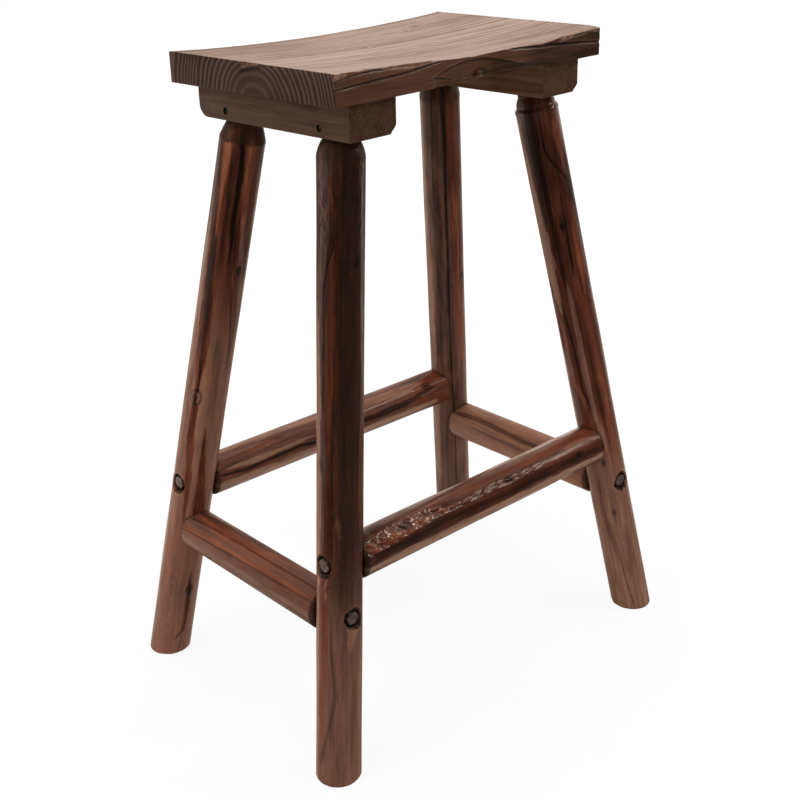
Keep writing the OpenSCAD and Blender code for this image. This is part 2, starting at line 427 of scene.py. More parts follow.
def log_material(name, seed, coat, film_roughness, shine, streaks):
    """Peeled log under varnish: dry brown wood, and wood soaked red to black, both streaked."""
    m = Nodes(bpy.data.materials.new(name))
    grain = m.vector("grain")
    # Each log has its own stretch of the noise
    m.shift = (seed * 3.1, seed * 1.7, seed * 2.3)
    broad = m.noise(grain, (34, 34, 5), 2.0, 0.5)
    blotches = m.noise(grain, (95, 95, 24), 3.0, 0.55, 0.3)
    bands = m.noise(grain, (170, 170, 7), 2.0, 0.5, 0.4)
    strands = m.noise(grain, (520, 520, 14), 3.0, 0.6, 0.3)
    fibres = m.noise(grain, (1600, 1600, 36), 2.0, 0.5)
    mottle = m.noise(grain, (300, 300, 140), 3.0, 0.6)
    dimples = m.noise(grain, (520, 520, 190), 2.0, 0.5)
    torn = m.value("torn")
    tone = m.total(
        0.46, m.centred(broad, 0.34 * streaks), m.centred(blotches, 0.44 * streaks),
        m.centred(bands, 0.48 * streaks), m.centred(strands, 0.26), m.centred(fibres, 0.14),
        m.centred(mottle, 0.10), m.times(m.value("tone"), 0.30),
    )
    uneven = m.total(m.value("wet"), m.centred(blotches, 0.8 * streaks), m.centred(bands, 0.5 * streaks))
    soaked = m.span(uneven, 0.2, 0.8)
    colour = m.mix(soaked, m.ramp(tone, DRY_WOOD), m.ramp(tone, SOAKED_WOOD))
    # The legs' stained shoulders, and the painted shade at their necks and at the rungs' ends, darken the
    # colour and thin the varnish
    stain_and_shade = m.times(m.value("stain_and_shade"), m.span(mottle, 0.25, 0.65, 1.0, 0.7), clamp=True)
    colour = m.mix(stain_and_shade, colour, STAIN_AND_SHADE_BROWN)
    film = m.noise(grain, (120, 120, 26), 3.0, 0.6)
    film = m.span(m.total(film, m.times(torn, 0.25)), 0.38, 0.62, 0.35, 1.0)
    film = m.times(film, m.times(m.value("gloss"), coat))
    varnish = m.times(film, m.math("SUBTRACT", 1.0, stain_and_shade), clamp=True)
    roughness = m.total(shine, m.centred(mottle, 0.20), m.times(stain_and_shade, 0.15), m.times(torn, -0.08))
    height = m.total(
        m.times(strands, 0.5), m.times(fibres, 0.25), m.times(m.span(dimples, 0.55, 0.75), 0.45),
        m.times(m.times(mottle, torn), 2.0),
    )
    return m.finish(
        colour, roughness, height, 0.35 * MM, Coat_Weight=varnish, Coat_Roughness=film_roughness,
        Specular_IOR_Level=0.08,
    )


def bore_material():
    """Bare wood inside the bores, coloured nearly black."""
    m = Nodes(bpy.data.materials.new("bore_wood"))
    place = m.place()
    crumbs = m.noise(place, (900, 900, 900), 4.0, 0.65)
    colour = m.ramp(crumbs, [
        (0.3, (0.012, 0.006, 0.004)), (0.55, (0.038, 0.016, 0.010)), (0.8, (0.10, 0.045, 0.026)),
    ])
    return m.finish(colour, m.span(crumbs, 0.3, 0.7, 0.45, 0.7), crumbs, 0.5 * MM, Specular_IOR_Level=0.3)


def seat_material():
    """The seat plank: pale satin long grain on top, its paleness partly a painted sheen, dark soaked rings
    on the sawn ends, red-brown edges.
    """
    m = Nodes(bpy.data.materials.new("seat_wood"))
    grain = m.vector("grain")
    facing = m.facing()
    wander = m.noise(grain, (12, 60, 60), 3.0, 0.6)
    ring = m.total(m.value("ring"), m.centred(wander, 0.5))
    near_ring = m.math("PINGPONG", ring, 0.5)
    ridge = m.span(near_ring, 0.02, 0.36, 1.0, 0.0)
    late = m.span(near_ring, 0.0, 0.42, 1.0, 0.0)
    ridge = m.times(ridge, m.span(ring, 1.0, 6.0, 0.38, 1.0))
    streaks = m.noise(grain, (6, 90, 90), 3.0, 0.6, 0.3)
    strands = m.noise(grain, (13, 420, 420), 3.0, 0.65, 0.2)
    fibres = m.noise(grain, (40, 1500, 1500), 2.0, 0.5)
    broad = m.noise(grain, (5, 20, 20), 2.0, 0.5)
    specks = m.noise(grain, (800, 800, 800), 3.0, 0.6)

    top_tone = m.total(
        0.69, m.centred(broad, 0.40), m.centred(streaks, 0.62), m.centred(strands, 0.78),
        m.centred(fibres, 0.60), m.times(m.value("tone"), 0.5), m.times(late, -0.26),
    )
    top = m.ramp(top_tone, [
        (0.05, (0.030, 0.016, 0.011)), (0.25, (0.125, 0.072, 0.050)), (0.45, (0.262, 0.165, 0.121)),
        (0.60, (0.375, 0.257, 0.199)), (0.80, (0.49, 0.362, 0.292)),
    ])
    side_tone = m.total(
        0.47, m.centred(streaks, 0.55), m.centred(strands, 0.40), m.centred(fibres, 0.25),
        m.centred(broad, 0.25), m.times(m.value("tone"), 0.5),
    )
    side = m.ramp(side_tone, [
        (0.12, (0.014, 0.006, 0.004)), (0.32, (0.058, 0.023, 0.013)), (0.52, (0.125, 0.048, 0.027)),
        (0.75, (0.19, 0.082, 0.046)), (0.95, (0.32, 0.17, 0.10)),
    ])
    # On the sawn ends the raised ring ridges are lighter, weaker near the pith: a painted highlight where
    # they catch the light
    end_tone = m.total(
        0.16, m.times(ridge, 0.28), m.centred(specks, 0.30), m.centred(broad, 0.25),
        m.times(m.value("tone"), 0.5),
    )
    end = m.ramp(end_tone, [
        (0.05, (0.020, 0.010, 0.007)), (0.3, (0.080, 0.042, 0.031)), (0.55, (0.160, 0.098, 0.076)),
        (0.8, (0.28, 0.19, 0.15)),
    ])
    # Faces turned up take the pale top colour, which holds part of a painted sheen
    facing_up = m.span(facing[2], 0.40, 0.80)
    facing_end = m.span(m.math("ABSOLUTE", facing[0]), 0.5, 0.8)
    colour = m.mix(facing_up, side, top)
    colour = m.mix(facing_end, colour, end)
    # Pale worn wood on the rolled rims and chips, and painted glints by the wane's knot
    wear_and_glint = m.times(m.value("wear_and_glint"), m.span(strands, 0.30, 0.60, 0.55, 1.0), clamp=True)
    wear_and_glint_colour = m.ramp(m.noise(grain, (90, 260, 260), 3.0, 0.6), [
        (0.35, (0.15, 0.062, 0.036)), (0.52, (0.30, 0.150, 0.090)), (0.68, (0.50, 0.32, 0.22)),
    ])
    colour = m.mix(wear_and_glint, colour, wear_and_glint_colour)
    # Painted shade in the splits and just under the wane's arch
    colour = m.mix(m.value("stain_and_shade"), colour, SPLIT_SHADE_BROWN)
    roughness = m.total(0.46, m.centred(strands, 0.25), m.times(facing_end, 0.05))
    height = m.total(
        m.times(strands, 0.45), m.times(fibres, 0.35), m.times(late, 0.25),
        m.times(m.times(ridge, facing_end), 1.6), m.times(m.times(specks, facing_end), 0.8),
    )
    return m.finish(colour, roughness, height, 0.32 * MM, Specular_IOR_Level=0.10)


def cleat_material():
    """Sawn lumber of a cleat: grey-brown faces with faint long grain, rough red-brown ends."""
    m = Nodes(bpy.data.materials.new("cleat_wood"))
    grain = m.vector("grain")
    facing = m.facing()
    streaks = m.noise(grain, (150, 7, 150), 3.0, 0.6, 0.4)
    strands = m.noise(grain, (520, 18, 520), 3.0, 0.65, 0.2)
    fibres = m.noise(grain, (1600, 50, 1600), 2.0, 0.5)
    specks = m.noise(grain, (620, 620, 620), 4.0, 0.7)
    patches = m.noise(grain, (60, 30, 60), 2.0, 0.5)
    side_tone = m.total(
        0.5, m.centred(streaks, 0.55), m.centred(strands, 0.45), m.centred(fibres, 0.25),
        m.centred(patches, 0.2), m.times(m.value("tone"), 0.5),
    )
    side = m.ramp(side_tone, [
        (0.1, (0.022, 0.011, 0.008)), (0.35, (0.078, 0.042, 0.029)), (0.6, (0.132, 0.075, 0.052)),
        (0.85, (0.20, 0.125, 0.090)),
    ])
    end_tone = m.total(0.50, m.centred(specks, 0.9), m.centred(patches, 0.4))
    end = m.ramp(end_tone, [
        (0.15, (0.020, 0.009, 0.006)), (0.45, (0.088, 0.037, 0.021)), (0.75, (0.175, 0.083, 0.050)),
        (0.95, (0.30, 0.165, 0.105)),
    ])
    side = m.mix(m.value("warm"), side, m.mix(1.0, side, (1.12, 0.86, 0.70), "MULTIPLY"))
    facing_end = m.span(m.math("ABSOLUTE", facing[1]), 0.6, 0.85)
    colour = m.mix(facing_end, side, end)
    roughness = m.total(0.55, m.centred(strands, 0.2), m.times(facing_end, 0.10))
    height = m.total(m.times(strands, 0.4), m.times(fibres, 0.3), m.times(m.times(specks, facing_end), 2.4))
    return m.finish(colour, roughness, height, 0.35 * MM, Specular_IOR_Level=0.08)


def bolt_material():
    """Plain steel bolt heads dulled by stain and dust."""
    m = Nodes(bpy.data.materials.new("lag_bolt_steel"))
    place = m.place()
    stains = m.noise(place, (260, 260, 260), 4.0, 0.6, 0.3)
    grit = m.noise(place, (2400, 2400, 2400), 3.0, 0.6)
    colour = m.ramp(stains, [
        (0.3, (0.05, 0.028, 0.020)), (0.5, (0.14, 0.095, 0.076)), (0.7, (0.25, 0.185, 0.155)),
    ])
    roughness = m.total(0.45, m.centred(grit, 0.2), m.centred(stains, -0.2))
    return m.finish(colour, roughness, m.total(grit, m.times(stains, 0.6)), 0.12 * MM, Metallic=0.25)


def screw_material():
    """Dark hardened steel of the wood screws."""
    m = Nodes(bpy.data.materials.new("screw_steel"))
    place = m.place()
    stains = m.noise(place, (500, 500, 500), 4.0, 0.6)
    grit = m.noise(place, (2800, 2800, 2800), 3.0, 0.6)
    colour = m.ramp(stains, [
        (0.3, (0.016, 0.010, 0.007)), (0.6, (0.05, 0.034, 0.025)), (0.8, (0.11, 0.08, 0.058)),
    ])
    return m.finish(colour, m.span(grit, 0.2, 0.8, 0.35, 0.55), grit, 0.08 * MM, Metallic=0.8)


BORE_WOOD = bore_material()
BOLT_STEEL = bolt_material()
SCREW_STEEL = screw_material()
SEAT_WOOD = seat_material()
CLEAT_WOOD = cleat_material()


# Places of the legs and rungs

def leg_top(corner):
    """The point of a leg's axis level with the cleats' underside."""
    return np.array([corner[0] * LEG_TOP_X, corner[1] * LEG_TOP_Y, CLEAT_Z])


def leg_foot(corner):
    """The middle of a leg's foot on the floor."""
    x = corner[0] * (LEG_TOP_X + SPLAY_X)
    y = corner[1] * (LEG_TOP_Y + SPLAY_Y)
    cos, sin = np.cos(FRAME_TWIST), np.sin(FRAME_TWIST)
    return np.array([x * cos + y * sin, y * cos - x * sin, 0])


def leg_point(corner, z):
    """The point of a leg's axis at height z."""
    return leg_foot(corner) + (leg_top(corner) - leg_foot(corner)) * z / CLEAT_Z


# Flats left by the peeling knife: how many on a leg and a rung, half width in radians, half length in m
LEG_FLATS, RUNG_FLATS = 34, 20
FLAT_HALF_WIDTH = (0.16, 0.30)
FLAT_HALF_LENGTH = (0.08, 0.22)


class Log:
    """A peeled log: its axis, and what is drawn and carved at each place on it.

    A place is a distance along the axis and an angle round it, from the side that faces the camera.
    On a leg, angles grow to the right, and on a rung they grow downwards.
    """

    def __init__(self, name, start, end, radius, seed, flat_count):
        self.name, self.start, self.end, self.radius, self.seed = name, start, end, radius, seed
        self.flat_count = flat_count
        self.length = np.linalg.norm(end - start)
        self.axis = (end - start) / self.length
        to_camera = CAMERA_AT - (start + end) / 2
        self.near = unit(to_camera - (to_camera @ self.axis) * self.axis)
        self.side = np.cross(self.axis, self.near)
        self.strokes, self.knots, self.tears, self.ovals, self.mouths = [], [], [], [], []
        self.base = {"tone": [(0, 0), (1, 0)], "wet": [(0, 0.5), (1, 0.5)], "gloss": [(0, 1), (1, 1)]}
        # How dark a leg's shoulder is stained, and the height in mm of the varnish's bead on it
        self.shoulder_stain = 0.6
        self.bead = 0
        self.random = np.random.default_rng(seed)

    def around(self, angle):
        """The direction from the axis at an angle."""
        return np.cos(angle)[..., None] * self.near + np.sin(angle)[..., None] * self.side

    def point(self, angle, reach, along):
        """The point at a place, at this reach from the axis."""
        return self.start + self.around(angle) * reach[..., None] + along[..., None] * self.axis

    def place_of(self, point):
        """The place on the log, along and angle, of a point beside its axis."""
        offset = point - self.start
        return offset @ self.axis, np.arctan2(offset @ self.side, offset @ self.near)

    def track(self, points, angle, along):
        """Distance in metres from a line of (along mm, degrees, half width mm), and its half width."""
        places, angles, widths = np.array(points, float).T
        order = np.argsort(places)
        places, angles, widths = places[order] * MM, np.radians(angles[order]), widths[order] * MM
        middle = np.interp(along, places, angles)
        width = np.interp(along, places, widths, left=0, right=0)
        return wrapped(angle - middle) * self.radius, width

    def carve(self, angle, along):
        """Depth of the surface under the full radius, and the values drawn on it."""
        round_place = stacked(np.cos(angle), np.sin(angle), along / 0.1)
        wander = 0.25 * value_noise(round_place * 1.1, self.seed + 50)
        wander = wander + 0.06 * value_noise(round_place * (3, 3, 2.5), self.seed + 60)
        depth = 0.25 * MM * (1 + value_noise(round_place * 1.3, self.seed))
        depth = depth + 0.10 * MM * (1 + value_noise(round_place * (5, 5, 2), self.seed + 3))
        for _ in range(self.flat_count):
            place = self.random.uniform(0, self.length)
            direction = self.random.uniform(-np.pi, np.pi)
            half_width = self.random.uniform(*FLAT_HALF_WIDTH)
            half_length = self.random.uniform(*FLAT_HALF_LENGTH)
            gap = wrapped(angle - direction - 0.15 * wander)
            sink = self.radius * (1 - np.cos(half_width)) * (1 - ((along - place) / half_length) ** 2)
            chord = (self.radius - sink) / np.cos(np.clip(gap, -1.2, 1.2))
            depth = np.maximum(depth, self.radius - chord)
        # The base values, and the strokes over them with their ragged edges
        drawn = {}
        for field, line in self.base.items():
            places, levels = np.array(line, float).T
            drawn[field] = np.interp(along, places * MM, levels)
        torn = 0 * angle
        grain_angle = angle
        fine = stacked(angle * self.radius, along, 0 * along)
        for fields, softness, points in self.strokes:
            gap, width = self.track(points, angle, along)
            ragged = 0.35 * value_noise(fine * (900, 60, 1), self.seed + 7) * width
            ragged = ragged + wander * self.radius * 0.06
            share = ease((width - np.abs(gap + ragged)) / (softness * MM) + 0.5) * ease(width / (0.5 * MM))
            for field, amount in fields.items():
                drawn[field] = drawn[field] + amount * share
            # The darkest strokes are cracks and scars
            if fields.get("tone", 0) < -0.85:
                depth = depth + 0.3 * MM * share
        tone = drawn["tone"]
        # Knots: a raised rim round a dark hollow, a dark tail, and grain that bends round them
        for place, degrees, size, height in self.knots:
            across = wrapped(angle - np.radians(degrees)) * self.radius
            up = along - place * MM
            size = size * MM
            spread = np.hypot(across / size, up / (1.35 * size))
            depth = depth - height * MM * bell(spread - 1.0, 0.45)
            depth = depth + 0.5 * abs(height) * MM * bell(spread, 0.55)
            tone = tone - 2.0 * bell(spread, 0.75) - 1.1 * bell(spread - 1.45, 0.25)
            tail = bell(across, 0.8 * size) * bell(up, 7 * size)
            tone = tone - 0.35 * tail
            bend = bell(across, 3.2 * size) * bell(up, 5 * size)
            grain_angle = grain_angle - 0.75 * bend * across / self.radius
        # Growth rings cut across by the knife
        for place, degrees, half_width, half_length, amount in self.ovals:
            across = wrapped(angle - np.radians(degrees)) * self.radius / (half_width * MM)
            up = (along - place * MM) / (half_length * MM)
            spread = np.sqrt(across**2 + up**2) + 0.06 * wander
            for ring in (0.35, 0.65, 1.0):
                tone = tone - amount * bell(spread - ring, 0.055)
        # Torn patches: lumps and dents
        for amount, points in self.tears:
            gap, width = self.track(points, angle, along)
            inside = ease((width - np.abs(gap)) / (3 * MM) + 0.3) * (width > 0)
            warp = fine + 0.004 * value_noise(fine * (70, 45, 1), self.seed + 25)[..., None]
            lumps = 1 - 2.2 * np.abs(value_noise(warp * (150, 75, 1) + 5, self.seed + 20))
            lumps = lumps + 0.5 * value_noise(warp * (420, 260, 1), self.seed + 30)
            depth = depth + inside * amount * MM * (0.6 - 0.6 * lumps)
            torn = np.maximum(torn, inside)
            tone = tone + 0.30 * amount * inside * (lumps + 0.8)
        # The torn rims of the bolts' counterbores: sunk, and painted dark inside, partly stain soaked into
        # the torn wood and partly painted shade round the bolt heads, with a lighter ring of torn wood
        # outside
        for place, middle in self.mouths:
            across = wrapped(angle - middle) * self.radius
            up = along - place
            turn = np.arctan2(across, up)
            around = stacked(np.cos(turn) * 1.6, np.sin(turn) * 1.6, 0 * turn + place * 90)
            rim = COUNTERBORE_R + MM * (2.0 + 2.6 * layered_noise(around, self.seed + 70, 3))
            gap = (rim - np.hypot(across, up)) / MM
            depth = depth + 3.2 * MM * ease(gap / 1.2 + 0.5) - 0.4 * MM * bell(gap + 1.6, 1.0)
            tone = tone - 1.7 * ease(gap / 1.6 + 0.6) + 0.35 * bell(gap + 2.0, 1.2)
            drawn["wet"] = drawn["wet"] + 0.2 * ease(gap / 4 + 1)
            torn = np.maximum(torn, ease(gap / 2 + 1.6))
        grain = stacked(self.radius * np.cos(grain_angle), self.radius * np.sin(grain_angle), along)
        drawn.update(tone=tone, torn=torn)
        return depth, drawn, grain


# The points in each ring of a log, and the distance between rings
AROUND = 144
ANGLES = np.linspace(-np.pi, np.pi, AROUND, endpoint=False)
ROW_STEP = 1.7 * MM
# The flat rings that close a leg's foot, as shares of its radius
FOOT_SHARES = np.array([0.33, 0.66, 0.9])


def tube_quads(rows, columns):
    """Quads of a tube of rows rings, with their outer side out."""
    index = np.arange(rows * columns).reshape(rows, columns)
    ahead = np.roll(index, -1, axis=1)
    return stacked(index[:-1], ahead[:-1], ahead[1:], index[1:]).reshape(-1, 4)


def padded(data, before, after):
    """Values of rings, with those of the first and last ring repeated before and after them."""
    return np.concatenate([np.repeat(data[:1], before, axis=0), data, np.repeat(data[-1:], after, axis=0)])


def closed_log(name, before, rings, after, tips, material, drawn, grain):
    """A closed mesh from rings of points, plain rings before and after them, and a tip at each end.

    The drawn values belong to the rings, and the grain to all of them.
    """
    rings = np.concatenate([before, rings, after])
    rows, columns = rings.shape[:2]
    points = np.concatenate([rings.reshape(-1, 3), tips])
    quads = tube_quads(rows, columns).tolist()
    first, last = rows * columns, rows * columns + 1
    for k in range(columns):
        n = (k + 1) % columns
        quads.append((first, n, k))
        quads.append((last, (rows - 1) * columns + k, (rows - 1) * columns + n))
    values = {}
    for label, data in drawn.items():
        data = padded(data, len(before), len(after))
        values[label] = np.append(data.ravel(), [data[0].mean(), data[-1].mean()])
    grain = np.concatenate([grain.reshape(-1, 3), [grain[0].mean(axis=0), grain[-1].mean(axis=0)]])
    return wood_object(name, points, quads, material, values, grain)


def lag_axis(corner, far_corner, z):
    """Where a lag bolt's axis crosses its leg's, and its direction into the rung."""
    start = leg_point(corner, z + LAG_RISE)
    return start, unit(leg_point(far_corner, z + LAG_RISE) - start)


def bore_tool(start, direction, wide, narrow, heights, segments=24):
    """A tool along direction, wide between the first two heights and narrow up to the third."""
    top, step, bottom = heights
    outline = [(0, top), (wide, top), (wide, step), (narrow, step), (narrow, bottom), (0, bottom)]
    return lathe(outline, pointing(start, direction), segments)


def lag_bore_tool(corner, far_corner, z):
    """The bore and counterbore for a lag bolt through a leg."""
    heights = (-2 * LEG_R, -COUNTERBORE_FLOOR, 2 * LEG_R)
    return bore_tool(*lag_axis(corner, far_corner, z), COUNTERBORE_R, LAG_R + FIT_GAP, heights, 48)


def lag_pilot_tool(corner, far_corner, z):
    """The blind pilot bore for a lag bolt in the end of a rung."""
    heights = (-LEG_R, LAG_PLAIN_L - COUNTERBORE_FLOOR + FIT_GAP, LAG_L - COUNTERBORE_FLOOR + 1 * MM)
    return bore_tool(*lag_axis(corner, far_corner, z), LAG_R + FIT_GAP, LAG_ROOT_R + FIT_GAP, heights)


def screw_bore_tool(start, direction, length, sink):
    """The bore for a wood screw whose head's top is at start, with its counterbore."""
    heights = (SCREW_HEAD_H - sink - 2 * MM, SCREW_HEAD_H, SCREW_HEAD_H + length + FIT_GAP)
    return bore_tool(start, direction, SCREW_HEAD_R + FIT_GAP, SCREW_R + FIT_GAP, heights)


def tenon_screw_bore(corner):
    """The bore through a cleat's outer face into a leg's tenon."""
    z = CLEAT_Z + TENON_SCREW_UP
    face = CLEAT_X + CLEAT_W / 2
    start = (corner[0] * (face - TENON_SCREW_SINK + SCREW_HEAD_H), leg_point(corner, z)[1], z)
    return screw_bore_tool(start, (-corner[0], 0, 0), TENON_SCREW_L, TENON_SCREW_SINK)


def seat_screw_bore(corner):
    """The bore up through a cleat into the seat."""
    start = (corner[0] * CLEAT_X, corner[1] * SEAT_SCREW_Y, CLEAT_Z + SEAT_SCREW_SINK - SCREW_HEAD_H)
    return screw_bore_tool(start, (0, 0, 1), SEAT_SCREW_L, SEAT_SCREW_SINK)


def build_leg(log, corner, material, cone):
    """A leg from its flat foot to the top of its tenon, its shoulder straight at cone 1 and round at 0."""
    shoulder = log.length - NECK_L - SHOULDER_L
    neck = log.length - NECK_L
    blend_low, blend_high = 40 * MM, neck + 2 * MM
    top_z = SEAT_Z - FIT_GAP
    sideways = log.around(ANGLES)[:, 2]

    def along_at(z, reach):
        """How far along the axis a rod of this radius meets height z, at each angle."""
        return (z - log.start[2] - sideways * reach) / log.axis[2]

    rows = [0, 0.25 * MM, 0.7 * MM, 1.2 * MM, 2 * MM]
    rows += list(np.linspace(3.2 * MM, shoulder, int(shoulder / ROW_STEP)))
    rows += list(np.linspace(shoulder, neck, 18)[1:]) + list(np.linspace(neck, blend_high, 3)[1:])
    # Near the foot the rings tilt from level to square with the axis
    level, turn = np.meshgrid(rows, ANGLES, indexing="ij")
    # The full radius along the leg: straight, then a shoulder, then the neck
    step = LEG_R - TENON_R
    shoulder_r = (step**2 + SHOULDER_L**2) / (2 * step)
    up = np.clip(level - shoulder, 0, SHOULDER_L)
    arc = shoulder_r - np.sqrt(shoulder_r**2 - up**2)
    fall = (1 - cone) * arc + cone * step * up / SHOULDER_L
    foot_start = along_at(0, LEG_R)
    low = np.clip(level / blend_low, 0, 1)
    along = np.where(level < blend_low, foot_start + (blend_low - foot_start) * low, level)
    bolts = [((-corner[0], corner[1]), MAIN_RUNG_Z), ((corner[0], -corner[1]), SIDE_RUNG_Z)]
    for far_corner, z in bolts:
        start, direction = lag_axis(corner, far_corner, z)
        log.mouths.append(log.place_of(start - direction * LEG_R))
    depth, drawn, grain = log.carve(turn, along)
    fade = 1 - ease((level - shoulder + 2 * MM) / (4 * MM))
    depth = depth * (0.25 + 0.75 * fade)
    up = (level - shoulder) / MM
    depth = depth - log.bead * MM * (bell(up - 3, 2) - bell(up - 8, 2))
    drawn["gloss"] = drawn["gloss"] + 1.5 * log.bead * bell(up - 4, 5)
    rounding = 1.6 * MM * (1 - np.clip(level / (2 * MM), 0, 1)) ** 2
    reach = LEG_R - fall - depth - rounding
    reach = np.where(level > neck - 1e-6, TENON_R, reach)
    reach = np.maximum(reach, TENON_R)
    points = log.point(turn, reach, along)
    points[0, :, 2] = 0
    points[:, :, 2] = np.maximum(points[:, :, 2], 0)
    facing = log.around(turn)
    ragged = value_noise(facing * 4, log.seed + 9) + 0.5 * value_noise(facing * 14, log.seed + 8)
    # The shoulder is stained darker; from 3 mm below the neck up into the cleat the wood is darkened fully
    # as painted shade, and the lowest 3 mm of the foot are darkened by half
    stain_and_shade = log.shoulder_stain * ease((level - shoulder + 1 * MM + 2.5 * MM * ragged) / (2 * MM) + 0.5)
    stain_and_shade = np.maximum(stain_and_shade, ease((level - neck + 3 * MM) / (5 * MM)))
    stain_and_shade = np.maximum(stain_and_shade, 0.5 * ease(1 - level / (3 * MM)))
    drawn["stain_and_shade"] = stain_and_shade
    # The tenon inside the cleat, and rings that close the foot and the top
    tenon = np.full(AROUND, TENON_R)
    top = along_at(top_z, tenon)
    closing = [(tenon, blend_high + (top - blend_high) * share) for share in (0.3, 0.6, 0.9, 1.0)]
    closing += [(tenon * share, along_at(top_z, tenon * share)) for share in (0.66, 0.33)]
    top_rings = np.array([log.point(ANGLES, ring_reach, line) for ring_reach, line in closing])
    foot_rings = np.array([
        log.point(ANGLES, reach[0] * share, along_at(0, reach[0] * share)) for share in FOOT_SHARES
    ])
    foot_rings[..., 2] = 0
    grain = padded(grain, len(foot_rings), len(top_rings))
    grain[:len(foot_rings)] *= FOOT_SHARES[:, None, None]
    tips = [log.start, log.start + log.axis * (top_z - log.start[2]) / log.axis[2]]
    name = "log_leg_" + CORNER_NAMES[corner]
    piece = closed_log(name, foot_rings, points, top_rings, tips, material, drawn, grain)
    tools = [lag_bore_tool(corner, far_corner, z) for far_corner, z in bolts]
    cut(piece, tools + [tenon_screw_bore(corner)])
    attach(piece, "root")
    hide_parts("leg_" + CORNER_NAMES[corner])


def cope(log, reach, leg_axis, towards):
    """Distance along a rung from the middle of the leg at one end to just off that leg's surface."""
    offset = log.around(ANGLES) * reach[..., None]
    run = log.axis * towards
    flat_run = run - (run @ leg_axis) * leg_axis
    flat_offset = offset - (offset @ leg_axis)[..., None] * leg_axis
    a = flat_run @ flat_run
    b = flat_offset @ flat_run
    c = (flat_offset**2).sum(axis=-1) - (LEG_R + FIT_GAP) ** 2
    inner = np.maximum(b * b - a * c, 0)
    return (-b + np.sqrt(inner)) / a


def build_rung(log, corners, z, material, node):
    """A rung between two legs, coped round them, with a blunt chamfered rim where its end passes them."""
    leg_axes = [unit(leg_top(corner) - leg_foot(corner)) for corner in corners]
    span = log.length
    ragged = layered_noise(stacked(np.cos(ANGLES) * 6, np.sin(ANGLES) * 6, 0 * ANGLES), log.seed + 40)
    # Each end's rim has a raggedness of its own
    trims = [RUNG_TRIM + 0.5 * MM * (1 + ragged), RUNG_TRIM + 0.5 * MM * (1 + np.roll(ragged, 31))]

    def end_distance(reach, which, chamfer=0):
        """Distance from the middle of the leg at one end to the rung's own end."""
        gap = cope(log, reach, leg_axes[which], 1 - 2 * which)
        return np.maximum(gap, trims[which] + chamfer)

    full = np.full(AROUND, RUNG_R)
    chamfer = RUNG_CHAMFER * (1 + 0.35 * ragged)
    low = end_distance(full, 0, chamfer)
    high = span - end_distance(full, 1, chamfer)
    zone = 45 * MM
    near_steps = np.concatenate([[0, 0.012, 0.03], np.linspace(0.06, 1, 24)[:-1]])
    middle = np.linspace(zone, span - zone, int((span - 2 * zone) / ROW_STEP))
    rows = [low + (zone - low) * s for s in near_steps]
    rows += [np.full(AROUND, m) for m in middle]
    rows += [high + (span - zone - high) * s for s in near_steps[::-1]]
    along = np.array(rows)
    turn = np.repeat(ANGLES[None, :], len(rows), axis=0)
    depth, drawn, grain = log.carve(turn, along)
    from_end = np.minimum(along - low, high - along)
    rim = np.clip(1 - from_end / (1.2 * MM), 0, 1) ** 2
    reach = RUNG_R - depth - 0.5 * MM * rim
    points = log.point(turn, reach, along)
    # The ends are darkened where they meet the legs: painted shade in the gap between rung and leg
    drawn["stain_and_shade"] = 0.85 * bell(from_end, 2.6 * MM)
    # Rings that close the two ends against the legs
    shares = [1 - 2 * MM / RUNG_R, 0.84, 0.75, 0.62, 0.48, 0.34, 0.2, 0.08]
    low_cap = [log.point(ANGLES, reach[0] * share, end_distance(reach[0] * share, 0)) for share in shares]
    high_cap = [
        log.point(ANGLES, reach[-1] * share, span - end_distance(reach[-1] * share, 1)) for share in shares
    ]
    nothing = np.full(AROUND, 1e-5)
    tips = [
        log.start + log.axis * end_distance(nothing, 0).mean(),
        log.end - log.axis * end_distance(nothing, 1).mean(),
    ]
    grain = padded(grain, len(shares), len(shares))
    piece = closed_log("log_" + node, low_cap[::-1], points, high_cap, tips, material, drawn, grain)
    cut(piece, [lag_pilot_tool(*corners, z), lag_pilot_tool(*corners[::-1], z)])
    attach(piece, "root")
    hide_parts(node)


# What is drawn on each log. tone is how light the wood is, wet how far the stain has soaked in, and gloss
# how thick the varnish lies; where a comment below says so, tone and wet also paint reflection and shade.
# Along each log, degrees turn as the class Log says:
#   base: the values before anything is drawn, at distances in mm
#   strokes: ({value: amount}, softness in mm, [(along mm, degrees, half width mm), ...])
#   knots: (along mm, degrees, radius mm, height of the rim in mm)
#   ovals, of growth rings: (along mm, degrees, half width mm, half length mm, amount)
#   tears, torn patches: (depth in mm, [(along mm, degrees, half width mm), ...])

leg_logs = {}
for seed, (corner, name) in enumerate(CORNER_NAMES.items(), start=1):
    leg_logs[corner] = Log(name, leg_foot(corner), leg_top(corner), LEG_R, 100 * seed, LEG_FLATS)
